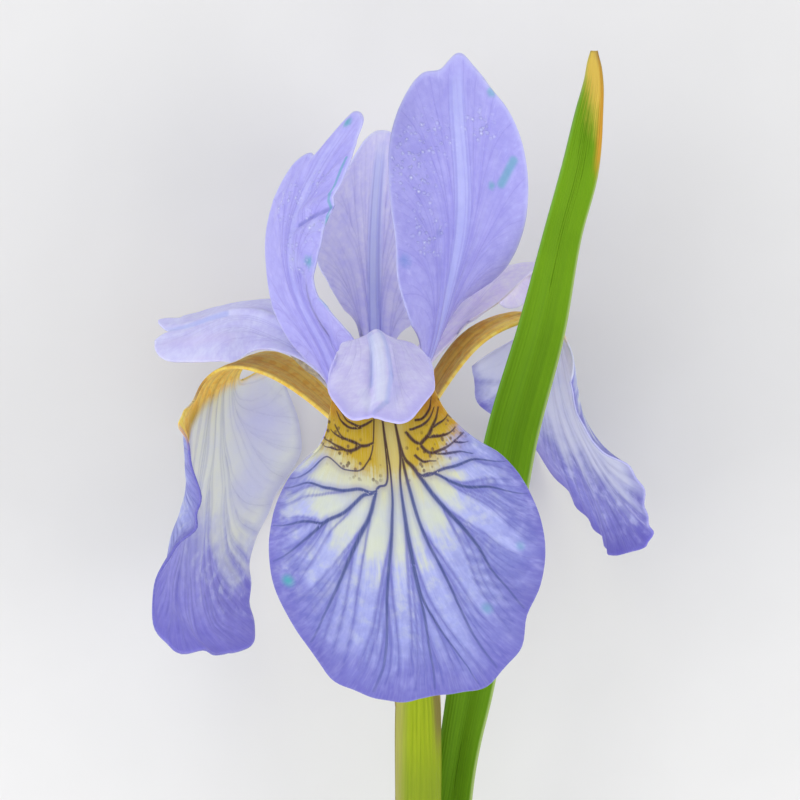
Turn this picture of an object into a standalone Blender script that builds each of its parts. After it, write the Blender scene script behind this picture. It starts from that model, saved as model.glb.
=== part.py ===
"""A Siberian iris flower, picked with its stem and one leaf, lying on its back.

Metres throughout the scene. +X is to the flower's right, +Y runs along it from the
cut end of the stem to the standards, +Z is up from the ground that it lies on.
The shapes below are given in millimetres and degrees in the flower's own frame:
x to the right, y up the flower's axis, z out of its front.
"""

import math

import bmesh
import bpy
import numpy as np

MM = 0.001

# How the flower lies: its axis tips up by LEAN, and PLACE brings its lowest
# points to the ground with the middle of its outline over the origin.
LEAN = 7.0
PLACE = (-2.88, 32.77, 35.52)

# Thickness of the petals at the claw and at the edge, and of the green parts.
CLAW_THICK = 1.0
EDGE_THICK = 0.62
ARM_THICK = 0.9
LEAF_THICK = 0.75
SPATHE_THICK = 0.6

# The rings where the parts of the flower grow from its short tube.
FALL_BASE = (3.5, -6.2)
STANDARD_BASE = (2.8, -6.2)
ARM_BASE = (1.7, -3.0)

# The line of the stem, from the top of the ovary down to the cut end.
STEM_LINE = (
    (-116.0, 1.5, -19.7),
    (-108.0, 2.4, -16.0),
    (-92.0, 3.8, -10.0),
    (-75.0, 4.7, -5.4),
    (-60.0, 4.9, -2.8),
    (-50.0, 4.8, -1.6),
    (-40.0, 4.2, -0.9),
    (-29.0, 1.9, -0.4),
    (-14.0, 0.0, 0.0),
)


def curve(points, at):
    """A smooth curve through (place, value) pairs, level beyond its ends."""
    places = np.array([p[0] for p in points], float)
    values = np.array([p[1] for p in points], float)
    at = np.clip(at, places[0], places[-1])
    if len(places) == 1:
        return np.full_like(at, values[0])
    gaps = np.diff(places)
    slopes = np.diff(values) / gaps
    bends = np.empty_like(values)
    bends[0] = slopes[0]
    bends[-1] = slopes[-1]
    bends[1:-1] = (slopes[:-1] * gaps[1:] + slopes[1:] * gaps[:-1]) / (gaps[1:] + gaps[:-1])
    i = np.clip(np.searchsorted(places, at, side="right") - 1, 0, len(gaps) - 1)
    u = (at - places[i]) / gaps[i]
    start = (2 * u**3 - 3 * u**2 + 1) * values[i] + (u**3 - 2 * u**2 + u) * gaps[i] * bends[i]
    end = (3 * u**2 - 2 * u**3) * values[i + 1] + (u**3 - u**2) * gaps[i] * bends[i + 1]
    return start + end


class Petal:
    """A claw that widens to a neck, then a round blade, bent along its midrib.

    Along the midrib, rise is its angle above the ground plane of the flower, turn is
    the way round that it points, roll tips it sideways, sway shifts it sideways and
    cup curls its edges up. The margin is an ellipse round centre, and edge holds how
    far out it reaches from the left shoulder through the tip to the right shoulder.
    flare is how steeply the shoulders rise out of the claw.
    """

    base = FALL_BASE
    claw = 28.0
    base_half = 1.5
    neck_half = 6.6
    centre = 47.5
    half_left = 18.0
    half_right = 18.0
    to_tip = 20.0
    to_claw = 20.0
    shoulder = 130.0
    flare = 0.6
    edge = (1.0, 1.0)
    rise = ((0, 90),)
    turn = ((0, 0),)
    roll = ((0, 0),)
    cup = ((0, 0),)
    sway = ((0, 0),)
    groove = ((0, 0),)
    ruffles = ()

    def __init__(self, **sizes):
        for name, value in sizes.items():
            setattr(self, name, value)
        self.length = self.centre + self.to_tip
        self.places = np.arange(-2.0, self.length + 14.0, 0.2)
        along = self.along(self.places)
        steps = (along + np.roll(along, 1, axis=0)) * 0.1
        line = np.cumsum(steps, axis=0)
        line -= [np.interp(0.0, self.places, line[:, k]) for k in range(3)]
        way = math.radians(self.turn[0][1])
        ring, height = self.base
        self.line = line + [math.sin(way) * ring, height, math.cos(way) * ring]

    def along(self, at):
        rise = np.radians(curve(self.rise, at))
        turn = np.radians(curve(self.turn, at))
        return np.stack([np.cos(rise) * np.sin(turn), np.sin(rise), np.cos(rise) * np.cos(turn)], -1)

    def midrib(self, at):
        return np.stack([np.interp(at, self.places, self.line[:, k]) for k in range(3)], -1)

    def flat(self, s, t):
        """Where the petal lies before it is bent: across and along the midrib."""
        way = np.radians(self.shoulder) * t
        knots = np.linspace(-1.0, 1.0, len(self.edge))
        reach = curve(tuple(zip(knots, self.edge)), t)
        half = np.where(t < 0, self.half_left, self.half_right)
        tall = np.where(np.cos(way) > 0, self.to_tip, self.to_claw)
        edge_x = half * np.sin(way) * reach
        edge_y = self.centre + tall * np.cos(way) * reach
        neck_x = self.neck_half * t
        share = self.claw / (self.claw + 0.75 * (self.length - self.claw))
        pull = 0.36 * np.hypot(edge_x - neck_x, edge_y - self.claw)
        side = np.abs(t) ** 3
        out_x = (1 - side) * np.sin(way) + side * np.sign(t)
        out_y = (1 - side) * np.cos(way) + side * self.flare
        size = np.hypot(out_x, out_y)
        first_x = neck_x + 0.25 * pull * t
        first_y = self.claw + pull
        inwards = 0.9 * np.abs(edge_x)
        last_x = edge_x - np.clip(out_x / size * pull, -inwards, inwards)
        last_y = edge_y - out_y / size * pull
        u = np.clip((s - share) / (1 - share), 0, 1)
        v = 1 - u
        fan_x = v**3 * neck_x + 3 * v * v * u * first_x + 3 * v * u * u * last_x + u**3 * edge_x
        fan_y = v**3 * self.claw + 3 * v * v * u * first_y + 3 * v * u * u * last_y + u**3 * edge_y
        g = np.clip(s / share, 0, 1)
        claw_x = (self.base_half + (self.neck_half - self.base_half) * g) * t
        return np.where(s < share, claw_x, fan_x), np.where(s < share, self.claw * g, fan_y)

    def surface(self, s, t):
        x, y = self.flat(s, t)
        lift = np.zeros_like(x)
        for size, count, shift, power in self.ruffles:
            lift += size * np.sin(2 * np.pi * (count * t + shift)) * s**power * np.abs(t) ** 0.5
        lift -= curve(self.groove, y) * np.exp(-((x / 1.3) ** 2))
        along = self.along(y)
        turn = np.radians(curve(self.turn, y))
        across = np.stack([np.cos(turn), 0 * turn, -np.sin(turn)], -1)
        up = np.cross(along, across)
        tip = np.radians(curve(self.roll, y))[..., None]
        across, up = across * np.cos(tip) + up * np.sin(tip), up * np.cos(tip) - across * np.sin(tip)
        curl = curve(self.cup, y)
        curl = np.where(np.abs(curl) < 1e-5, 1e-5, curl)
        sideways = np.sin(curl * x) / curl + curve(self.sway, y)
        upwards = (1 - np.cos(curl * x)) / curl + lift
        return self.midrib(y) + across * sideways[..., None] + up * upwards[..., None]


# Each petal's own shape, as it grew.
SHAPES = {
    "fall_front": dict(
        claw=27,
        base_half=1.4,
        neck_half=6.7,
        centre=49.1,
        half_left=16.9,
        half_right=18.1,
        to_tip=24.5,
        to_claw=21.2,
        shoulder=134.3,
        edge=(
            0.85, 0.9, 0.94, 0.98, 1.02, 1.05, 1.03, 1.01, 0.99, 0.93, 0.89, 0.86, 0.82,
            0.81, 0.85, 0.91, 0.91, 0.95, 0.94, 1.03, 1.09, 1.1, 1.08, 1.04, 0.97,
        ),
        rise=(
            (0, 40),
            (8, 44),
            (14, 31),
            (20, 12),
            (25, -16),
            (30, -50),
            (35, -74),
            (42, -82),
            (70, -96),
        ),
        cup=((0, 0.12), (20, 0.06), (30, -0.01), (40, -0.012), (70, -0.01)),
        sway=((0, 0), (28, 0.3), (47, 1.8), (65, 4.9)),
    ),
    "fall_left": dict(
        claw=28,
        base_half=1.4,
        neck_half=6.6,
        centre=47.5,
        half_left=19.8,
        half_right=25.3,
        to_tip=22.8,
        to_claw=21.8,
        shoulder=135.5,
        edge=(
            1.3, 1.16, 1.01, 0.91, 0.94, 1.01, 1.06, 1.05, 0.96, 0.94, 0.93, 0.88, 0.89,
            0.94, 1.01, 1.09, 1.19,
        ),
        rise=(
            (0, 42.5),
            (8, 40.6),
            (14, 30.3),
            (20, 6),
            (25, -33.8),
            (30, -66.5),
            (35, -73.7),
            (42, -77.8),
            (67, -141.2),
        ),
        turn=((0, -120.9), (30, -119.4), (65, -106.8)),
        roll=((0, 0.1), (30, -7.2), (65, 5)),
        cup=((0, 0.121), (20, 0.004), (30, -0.023), (70, -0.004)),
        sway=((0, 0), (28, 1.7), (47, -3), (65, 8.9)),
    ),
    "fall_right": dict(
        claw=28,
        base_half=1.4,
        neck_half=6.6,
        centre=47.5,
        half_left=16,
        half_right=18.6,
        to_tip=21.5,
        to_claw=24.5,
        shoulder=116.7,
        edge=(
            1.13, 1.08, 1.03, 1, 0.97, 0.95, 0.92, 0.88, 0.89, 0.93, 0.97, 0.98, 0.99,
            0.99, 0.99, 1.03, 1.15,
        ),
        rise=(
            (0, 61.9),
            (8, 64),
            (14, 55.3),
            (20, 27.5),
            (25, 4.1),
            (30, -54.1),
            (35, -61.4),
            (45, -65.2),
            (67, -76.8),
        ),
        turn=((0, 115.8), (30, 108.5), (65, 111.6)),
        roll=((0, -1.2), (30, -1.9), (65, -3.2)),
        cup=((0, 0.115), (20, -0.014), (30, -0.031), (70, 0.048)),
        sway=((0, 0), (28, -5), (47, 6.6), (65, 1.2)),
    ),
    "standard_left": dict(
        claw=11,
        base_half=1.2,
        neck_half=3,
        centre=26,
        half_left=8.9,
        half_right=8.5,
        to_tip=22.7,
        to_claw=14,
        shoulder=155.1,
        edge=(
            1.08, 1.05, 1.02, 0.99, 0.98, 0.99, 1, 1, 1, 0.99, 0.98, 0.96, 0.92, 0.86, 0.8,
            0.98, 1.07, 1.09, 1.09, 1.04, 1.05, 1.02, 0.96, 0.84, 0.72, 0.53, 0.52, 0.6,
            0.76, 0.95, 1.02, 1.03, 1.05,
        ),
        rise=((0, 49.5), (12, 67.3), (22, 80), (32, 100.3), (45, 111)),
        turn=((0, -59.8), (26, -77.6)),
        roll=((0, -0.1), (12, 20.9), (30, 19.5), (50, 22.3)),
        cup=((0, 0.1), (15, 0.03), (50, 0.02)),
        sway=((0, 0), (15, 2.3), (30, -3.5), (52, 2.7)),
    ),
    "standard_right": dict(
        claw=9,
        base_half=1.2,
        neck_half=1.4,
        centre=34,
        half_left=10.4,
        half_right=9.2,
        to_tip=23.5,
        to_claw=21.2,
        shoulder=133.2,
        edge=(
            1.02, 0.98, 0.96, 0.99, 1.05, 1.05, 0.99, 0.905, 0.97, 0.93, 0.95, 1.02, 1.04,
            1.02, 1.01, 0.99, 0.95,
        ),
        rise=((0, 74.9), (14, 64.4), (24, 71.1), (34, 79.5), (53, 87.1)),
        turn=((0, 64.4),),
        roll=((0, 2.6), (14, 10.4), (34, -49), (53, -91.7)),
        cup=((0, 0.1), (15, 0.03), (50, 0.02)),
        sway=((0, 0), (15, -2.6), (34, -2.1), (53, -5.1)),
    ),
    "standard_back": dict(
        claw=8,
        base_half=1.2,
        neck_half=1.4,
        centre=29,
        half_left=9.4,
        half_right=9.9,
        to_tip=18.3,
        to_claw=11.2,
        shoulder=146.4,
        edge=(
            1.01, 1, 1, 0.99, 0.99, 0.98, 0.97, 0.97, 0.99, 1.05, 1.11, 1.13, 1.11,
            1.03, 0.93, 0.89, 0.84,
        ),
        rise=((0, 59.3), (20, 51.7), (50, 123.7)),
        turn=((0, 192.6),),
        roll=((0, 1), (50, 37.7)),
        cup=((0, 0.1), (15, 0.03), (50, 0.02)),
        sway=((0, 0), (10, -1), (45, -5.8)),
    ),
    "style_front": dict(
        claw=19,
        base_half=1.3,
        neck_half=4,
        centre=32,
        half_left=8.1,
        half_right=6.9,
        to_tip=11.8,
        to_claw=11.3,
        shoulder=113.5,
        flare=4,
        edge=(
            0.9, 0.95, 0.97, 0.97, 0.97, 0.97, 0.94, 0.86, 0.93, 0.97, 0.97, 0.94, 0.94,
            0.95, 0.97, 1, 1.02,
        ),
        rise=((0, 45.4), (8, 48.1), (16, 38.3), (24, -13.7), (32, -30.5), (40, -28.8)),
        cup=((0, -0.1), (15, -0.08), (30, -0.06), (40, -0.03)),
        sway=((0, 0), (14, -0.2), (20, -0.85), (27, 0), (34, 0.5)),
    ),
    "style_left": dict(
        claw=13,
        base_half=1.6,
        neck_half=4,
        centre=32,
        half_left=9.8,
        half_right=8.3,
        to_tip=10.03,
        to_claw=13.7,
        shoulder=115.9,
        flare=2.4,
        edge=(
            0.976, 0.971, 0.964, 0.965, 0.977, 0.98, 0.972, 0.957, 0.934, 0.901, 0.858,
            0.77, 0.722, 0.886, 0.989, 0.822, 0.652, 0.742, 0.84, 0.844, 0.859, 0.873,
            0.883, 0.877, 0.852, 0.826, 0.837, 0.886, 0.956, 1.04, 1.091, 1.106, 1.099,
        ),
        rise=((0, 48.5), (8, 40.5), (16, 48.7), (24, 0), (32, -22.6), (42, 6.4)),
        turn=((0, -114.8),),
        roll=((0, 0.2), (12, 13.9), (20, -30.3), (28, -26.9), (40, -33.8)),
        cup=((0, -0.1), (15, -0.1), (30, -0.07), (40, -0.07)),
        sway=((0, 0), (20, 1.4), (36, -0.3)),
    ),
    "style_right": dict(
        claw=13,
        base_half=1.6,
        neck_half=5.1,
        centre=29,
        half_left=9.1,
        half_right=8,
        to_tip=8.2,
        to_claw=15.5,
        shoulder=140.7,
        edge=(
            0.99, 1.02, 1.02, 1.01, 1, 0.98, 0.99, 0.97, 0.82, 0.97, 1.01, 1, 1, 1, 1.01,
            1.03, 1.04,
        ),
        rise=((0, 83.5), (8, 56.9), (16, 39.7), (24, 45.9), (32, 4.3), (42, -4.4)),
        turn=((0, 113.5),),
        roll=((0, -1.4), (20, -17.9), (40, -39.8)),
        cup=((0, -0.1), (15, -0.1), (30, -0.08), (40, -0.04)),
        sway=((0, 0), (20, 0), (36, 7.5)),
    ),
}

# Soft waves of the margins: size in mm, waves a side, shift, and how sharply they
# grow towards the margin.
RUFFLES = {
    "fall_front": ((0.8, 2.6, 0.10, 5), (0.35, 4.1, 0.35, 7)),
    "fall_left": ((0.9, 2.2, 0.40, 5), (0.4, 3.9, 0.05, 7)),
    "fall_right": ((0.8, 2.3, 0.70, 5), (0.4, 3.7, 0.55, 7)),
    "standard_left": ((0.7, 1.9, 0.30, 4),),
    "standard_right": ((0.7, 2.1, 0.15, 4), (0.3, 3.8, 0.60, 6)),
    "standard_back": ((0.7, 1.8, 0.80, 4),),
    "style_front": ((0.5, 2.0, 0.25, 6),),
    "style_left": ((0.5, 2.0, 0.60, 6),),
    "style_right": ((0.5, 2.0, 0.10, 6),),
}

# Depth of the channel along the midrib of a fall, and of the ridge on a style arm.
FALL_GROOVE = ((0, 0.2), (20, 0.45), (55, 0.45), (66, 0.1))
STANDARD_GROOVE = ((0, 0.2), (12, 0.4), (40, 0.35), (50, 0.1))
ARM_RIDGE = ((0, -0.3), (12, -0.8), (30, -0.9), (40, -0.3))

# The line of the leaf beside the line of the stem, as y and how far off it is in x and z.
LEAF_LINE = (
    (-107.0, 1.75, -3.05),
    (-92.0, 1.75, -3.05),
    (-82.0, 1.8, -3.2),
    (-75.0, 2.3, -4.3),
    (-68.0, 3.45, -4.55),
    (-60.0, 4.7, -4.6),
    (-53.3, 5.6, -4.15),
    (-42.4, 7.85, -3.0),
    (-19.7, 15.0, 3.55),
    (-3.2, 18.1, 6.9),
    (10.5, 21.9, 6.3),
    (24.3, 25.0, 5.1),
    (32.4, 27.2, 4.1),
    (40.1, 28.5, 3.1),
    (44.7, 29.2, 2.1),
    (48.7, 29.3, 1.3),
)
LEAF_HALF = (
    (-107, 4.6),
    (-92, 4.9),
    (-80, 4.7),
    (-70, 3.9),
    (-62, 3.2),
    (-52.5, 2.9),
    (-41.3, 3.3),
    (-19.3, 3.7),
    (-3.2, 3.6),
    (10.5, 3.3),
    (24.3, 2.65),
    (32.4, 2.6),
    (40.1, 1.95),
    (44.7, 1.3),
    (47.6, 0.75),
    (48.7, 0.35),
)
LEAF_CURL = ((-107, 0.31), (-84, 0.31), (-75, 0.2), (-66, 0.09), (-52.5, 0.04), (48, 0.02))
LEAF_FACE = ((-107, -30), (-78, -30), (-60, -16), (-41.3, -5), (0, 0), (48, 10))


def spread(table, k):
    return tuple((row[0], row[k]) for row in table)


def stem_centre(at):
    """The middle of the stem at the given heights, as rows of x, y, z."""
    return np.stack([curve(spread(STEM_LINE, 1), at), at, curve(spread(STEM_LINE, 2), at)], -1)


def leaf_centre(at):
    """The midrib of the leaf at the given heights, as rows of x, y, z."""
    middle = stem_centre(at)
    middle[..., 0] += curve(spread(LEAF_LINE, 1), at)
    middle[..., 2] += curve(spread(LEAF_LINE, 2), at)
    return middle


def leaf_surface(s, t):
    """The leaf clasps the stem low down, then opens out flat beside the flower."""
    y = LEAF_LINE[0][0] + (LEAF_LINE[-1][0] - LEAF_LINE[0][0]) * s
    line = leaf_centre(y)
    ahead = leaf_centre(y + 0.5)
    along = ahead - line
    along /= np.linalg.norm(along, axis=-1, keepdims=True)
    face = np.radians(curve(LEAF_FACE, y))
    up = np.stack([np.sin(face), 0 * face, np.cos(face)], -1)
    up -= along * (up * along).sum(-1, keepdims=True)
    up /= np.linalg.norm(up, axis=-1, keepdims=True)
    across = np.cross(along, up)
    x = curve(LEAF_HALF, y) * t
    curl = curve(LEAF_CURL, y)
    rib = 0.5 * np.exp(-((x / 1.2) ** 2)) * np.clip((y + 66) / 12, 0, 1)
    sideways = np.sin(curl * x) / curl
    upwards = (1 - np.cos(curl * x)) / curl - rib
    return line + across * sideways[..., None] + up * upwards[..., None]


def spathe_surface(s, t, foot, tip, way, spans, radii):
    """A bract wrapped round the stem, drawn in to a point at its tip."""
    y = foot + (tip - foot) * s
    angle = np.radians(way + curve(spans, s) * t)
    out = curve(radii, s)
    middle = stem_centre(y)
    # The point of the bract is the last of it to leave the stem.
    middle[..., 1] -= 1.5 * np.abs(t) ** 2 * s**6
    return middle + np.stack([np.sin(angle) * out, 0 * out, np.cos(angle) * out], -1)


def stamen_line(fall, arm, at):
    """The way a stamen takes: out of the tube, then close under its style arm."""
    way = math.radians(fall.turn[0][1])
    foot = np.array([math.sin(way) * 2.35, FALL_BASE[1], math.cos(way) * 2.35])
    between = 0.45 * fall.midrib(at) + 0.55 * arm.midrib(at)
    share = np.clip(at / 7.0, 0, 1)
    share = (share**2 * (3 - 2 * share))[..., None]
    return foot * (1 - share) + between * share


def sheet_of(rows, columns):
    """A flat grid with its places along (0 to 1) and across (-1 to 1)."""
    mesh = bmesh.new()
    bmesh.ops.create_grid(mesh, x_segments=columns, y_segments=rows, size=1.0)
    flat = np.array([vertex.co for vertex in mesh.verts], float)
    return mesh, np.clip((flat[:, 1] + 1) / 2, 0, 1), np.clip(flat[:, 0], -1, 1)


def put(mesh, points):
    for vertex, point in zip(mesh.verts, points * MM):
        vertex.co = point


def material_of(name, colour, roughness):
    material = bpy.data.materials.new(name)
    material.use_nodes = True
    shader = material.node_tree.nodes["Principled BSDF"]
    shader.inputs["Base Color"].default_value = (*colour, 1.0)
    shader.inputs["Roughness"].default_value = roughness
    shader.inputs["Metallic"].default_value = 0.0
    material.diffuse_color = (*colour, 1.0)
    return material


def finish(name, mesh, colour, roughness=0.5):
    """Turns a finished mesh into one part of the flower."""
    data = bpy.data.meshes.new(name)
    mesh.to_mesh(data)
    mesh.free()
    part = bpy.data.objects.new(name, data)
    data.materials.append(material_of(name, colour, roughness))
    flower.objects.link(part)
    part.parent = lean
    return part


def thin_part(name, shape, rows, columns, thick, thin, colour, roughness=0.5):
    """A leaf or petal: its surface in small triangles, given its thickness."""
    mesh, s, t = sheet_of(rows, columns)
    put(mesh, shape(s, t))
    bmesh.ops.triangulate(mesh, faces=mesh.faces)
    part = finish(name, mesh, colour, roughness)
    group = part.vertex_groups.new(name="thickness")
    for k in range(len(s)):
        body = max(0.0, 1.0 - s[k] * 1.5) * (1 - 0.5 * t[k] ** 2)
        group.add([k], body, "REPLACE")
    solid = part.modifiers.new("thickness", "SOLIDIFY")
    solid.thickness = thick * MM
    solid.offset = 0.0
    solid.vertex_group = "thickness"
    solid.thickness_vertex_group = thin / thick
    return part


def round_part(name, middles, wide, deep, sides, ribs, colour, roughness=0.5):
    """A stalk: a tube of rings round a line, closed at both ends.

    ribs holds how many ribs run along it and how deep the dips between them are.
    """
    mesh, s, t = sheet_of(len(middles) - 1, sides)
    ring = np.rint(s * (len(middles) - 1)).astype(int)
    along = np.gradient(middles, axis=0)
    along /= np.linalg.norm(along, axis=1, keepdims=True)
    side = np.cross([0.0, 0.0, 1.0], along)
    side /= np.linalg.norm(side, axis=1, keepdims=True)
    front = np.cross(along, side)
    angle = np.pi * t
    dips = 1 - np.asarray(ribs[1])[ring] * (0.5 - 0.5 * np.cos(ribs[0] * angle)) if ribs else 1.0
    x = np.sin(angle) * np.asarray(wide)[ring] * dips
    y = np.cos(angle) * np.asarray(deep)[ring] * dips
    put(mesh, middles[ring] - side[ring] * x[:, None] + front[ring] * y[:, None])
    bmesh.ops.remove_doubles(mesh, verts=mesh.verts, dist=1e-7)
    ends = [edge for edge in mesh.edges if edge.is_boundary]
    bmesh.ops.holes_fill(mesh, edges=ends, sides=0)
    bmesh.ops.recalc_face_normals(mesh, faces=mesh.faces)
    return finish(name, mesh, colour, roughness)


for item in list(bpy.data.objects):
    bpy.data.objects.remove(item, do_unlink=True)

flower = bpy.data.collections.new("siberian_iris_flower")
bpy.context.scene.collection.children.link(flower)
lean = bpy.data.objects.new("lean", None)
lean.rotation_euler = (math.radians(LEAN), 0.0, 0.0)
lean.location = [value * MM for value in PLACE]
flower.objects.link(lean)

VIOLET = (0.33, 0.31, 0.74)
PALE_VIOLET = (0.45, 0.44, 0.82)
CREST = (0.60, 0.60, 0.88)
GREEN = (0.25, 0.38, 0.06)
LEAF_GREEN = (0.14, 0.29, 0.03)
PAPERY = (0.33, 0.29, 0.12)

petals = {}
for name, sizes in SHAPES.items():
    kind = name.split("_")[0]
    base = {"fall": FALL_BASE, "standard": STANDARD_BASE, "style": ARM_BASE}[kind]
    groove = {"fall": FALL_GROOVE, "standard": STANDARD_GROOVE, "style": ARM_RIDGE}[kind]
    petals[name] = Petal(base=base, groove=groove, ruffles=RUFFLES[name], **sizes)

for side in ("front", "left", "right"):
    fall = petals["fall_" + side]
    arm = petals["style_" + side]
    thin_part("fall_" + side, fall.surface, 20, 20, CLAW_THICK, EDGE_THICK, VIOLET)
    thin_part("style_arm_" + side, arm.surface, 14, 12, ARM_THICK, EDGE_THICK, CREST)
    at = np.array([0, 2, 4, 6, 8, 10.5, 11.5, 12.5, 14, 16, 18, 19.5, 20.3])
    wide = np.array([0.36, 0.34, 0.33, 0.32, 0.31, 0.3, 0.55, 0.8, 0.88, 0.86, 0.78, 0.6, 0.3])
    deep = np.array([0.36, 0.34, 0.33, 0.32, 0.31, 0.3, 0.42, 0.5, 0.52, 0.5, 0.46, 0.38, 0.25])
    round_part("stamen_" + side, stamen_line(fall, arm, at), wide, deep, 8, (), (0.75, 0.66, 0.38))

for side in ("left", "right", "back"):
    standard = petals["standard_" + side]
    thin_part("standard_" + side, standard.surface, 17, 12, CLAW_THICK, EDGE_THICK, PALE_VIOLET)

# The tube: a short cup, with the column that carries the style arms inside it.
tube = np.array(
    [
        (2.4, -13.9),
        (2.1, -12.0),
        (2.3, -10.2),
        (3.4, -8.4),
        (4.5, -7.5),
        (4.4, -7.05),
        (1.6, -7.0),
        (1.35, -6.0),
        (1.5, -4.6),
        (2.0, -3.45),
    ]
)
middles = np.stack([0 * tube[:, 1], tube[:, 1], 0 * tube[:, 1]], -1)
round_part("perianth_tube", middles, tube[:, 0], tube[:, 0], 18, (), (0.28, 0.30, 0.20))

at = np.array([-28.8, -27.5, -25, -22, -19, -16.5, -15.0, -14.4])
wide = np.array([1.5, 2.0, 2.55, 2.75, 2.7, 2.45, 2.1, 1.7])
dips = np.array([0.02, 0.08, 0.16, 0.2, 0.2, 0.15, 0.08, 0.02])
round_part("ovary", stem_centre(at), wide, wide, 24, (3, dips), GREEN)

at = np.array([-116, -115.2, -108, -100, -92, -84, -78, -75.5, -73, -66, -58, -50, -42, -34, -29.2])
wide = np.array([2.05, 2.2, 2.15, 2.12, 2.1, 2.1, 2.15, 2.15, 1.4, 1.35, 1.33, 1.3, 1.3, 1.3, 1.4])
round_part("stem", stem_centre(at), wide, wide, 14, (), GREEN)


def outer_spathe(s, t):
    spans = ((0, 100), (0.55, 96), (0.8, 62), (1, 3))
    radii = ((0, 3.1), (0.3, 3.1), (0.7, 3.4), (1, 4.1))
    return spathe_surface(s, t, -74.6, -31.0, 25, spans, radii)


def inner_spathe(s, t):
    spans = ((0, 100), (0.5, 92), (0.8, 58), (1, 3))
    radii = ((0, 2.05), (0.3, 2.1), (0.7, 2.5), (1, 3.4))
    return spathe_surface(s, t, -72.0, -36.0, 205, spans, radii)


thin_part("spathe_outer", outer_spathe, 12, 10, SPATHE_THICK, SPATHE_THICK, PAPERY, 0.6)
thin_part("spathe_inner", inner_spathe, 11, 10, SPATHE_THICK, SPATHE_THICK, PAPERY, 0.6)
thin_part("leaf", leaf_surface, 38, 6, LEAF_THICK, EDGE_THICK, LEAF_GREEN, 0.45)
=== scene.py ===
"""The looks of the Siberian iris flower that lies on its back with its stem and one leaf.

Every shape is given in millimetres and degrees in the flower's own frame: x to the
right, y up the flower's axis, z out of its front. place_of() brings it to the frame
that the solids use, in metres.
"""

import math
import random

import bpy
import numpy as np
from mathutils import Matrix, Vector, kdtree


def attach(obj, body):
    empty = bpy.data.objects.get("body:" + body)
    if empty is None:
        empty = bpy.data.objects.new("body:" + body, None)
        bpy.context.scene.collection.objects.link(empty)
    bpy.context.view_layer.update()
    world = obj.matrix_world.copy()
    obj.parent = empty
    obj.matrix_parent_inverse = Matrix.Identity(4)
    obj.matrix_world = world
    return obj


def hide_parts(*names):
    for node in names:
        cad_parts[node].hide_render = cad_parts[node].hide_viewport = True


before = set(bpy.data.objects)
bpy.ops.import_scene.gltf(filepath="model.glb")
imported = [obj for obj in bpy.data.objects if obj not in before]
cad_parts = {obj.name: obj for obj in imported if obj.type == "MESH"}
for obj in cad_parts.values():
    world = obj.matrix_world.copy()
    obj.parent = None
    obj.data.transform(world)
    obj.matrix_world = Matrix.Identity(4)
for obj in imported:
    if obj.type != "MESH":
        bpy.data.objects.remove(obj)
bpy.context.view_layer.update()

# How far the flower leans back in degrees, and where its own origin lies in mm.
MM = 0.001
LEAN = 7.0
PLACE = (-2.88, 32.77, 35.52)

# The rings where the parts of the flower grow from its short tube: radius and height.
FALL_BASE = (3.5, -6.2)
STANDARD_BASE = (2.8, -6.2)
ARM_BASE = (1.7, -3.0)

# Thickness of a petal at the foot of its claw and in its blade, and of the leaf and the
# bracts along their middle and at their edges.
FALL_THICK = (0.85, 0.30)
STANDARD_THICK = (0.75, 0.28)
ARM_THICK = (0.75, 0.30)
LEAF_THICK = (0.65, 0.32)
SPATHE_THICK = (0.42, 0.22)

# The middle of the stem from its cut end up: y, then x and z.
STEM_LINE = (
    (-116.0, 1.5, -19.7), (-108.0, 2.4, -16.0), (-92.0, 3.8, -10.0), (-75.0, 4.7, -5.4),
    (-60.0, 4.9, -2.8), (-50.0, 4.8, -1.6), (-40.0, 4.2, -0.9), (-29.0, 1.9, -0.4), (-14.0, 0.0, 0.0),
)


def curve(points, at):
    """A smooth curve through (place, value) pairs, level beyond its ends."""
    places, values = np.array(points, float).T
    at = np.clip(at, places[0], places[-1])
    if len(places) == 1:
        return np.full_like(at, values[0])
    gaps = np.diff(places)
    slopes = np.diff(values) / gaps
    bends = np.empty_like(values)
    bends[0] = slopes[0]
    bends[-1] = slopes[-1]
    bends[1:-1] = (slopes[:-1] * gaps[1:] + slopes[1:] * gaps[:-1]) / (gaps[1:] + gaps[:-1])
    i = np.clip(np.searchsorted(places, at, side="right") - 1, 0, len(gaps) - 1)
    u = (at - places[i]) / gaps[i]
    start = (2 * u**3 - 3 * u**2 + 1) * values[i] + (u**3 - 2 * u**2 + u) * gaps[i] * bends[i]
    end = (3 * u**2 - 2 * u**3) * values[i + 1] + (u**3 - u**2) * gaps[i] * bends[i + 1]
    return start + end


def soft(value, low, high):
    """0 below low, 1 above high and an easy slope between."""
    u = np.clip((value - low) / (high - low), 0, 1)
    return u * u * (3 - 2 * u)


def hump(off, wide):
    """1 in the middle of a fold or groove, fading to both sides."""
    return np.exp(-((off / wide) ** 2))


def curled(x, curl):
    """How far sideways and upwards the places of a strip come to lie once it is curled."""
    curl = np.where(np.abs(curl) < 1e-5, 1e-5, curl)
    return np.sin(curl * x) / curl, (1 - np.cos(curl * x)) / curl


def way_between(start, stop):
    """The length of the straight line between two flat places, and its direction."""
    far = math.dist(start, stop)
    return far, (stop[0] - start[0]) / far, (stop[1] - start[1]) / far


def rows_of(*columns):
    """Columns of numbers as rows."""
    return np.stack(columns, -1)


def place_of(points):
    """Rows of x, y, z in the flower's own frame, as places in the frame of the solids."""
    tip = math.radians(LEAN)
    x, y, z = points[..., 0], points[..., 1], points[..., 2]
    up = y * math.cos(tip) - z * math.sin(tip)
    front = y * math.sin(tip) + z * math.cos(tip)
    return (rows_of(x, up, front) + PLACE) * MM


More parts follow.
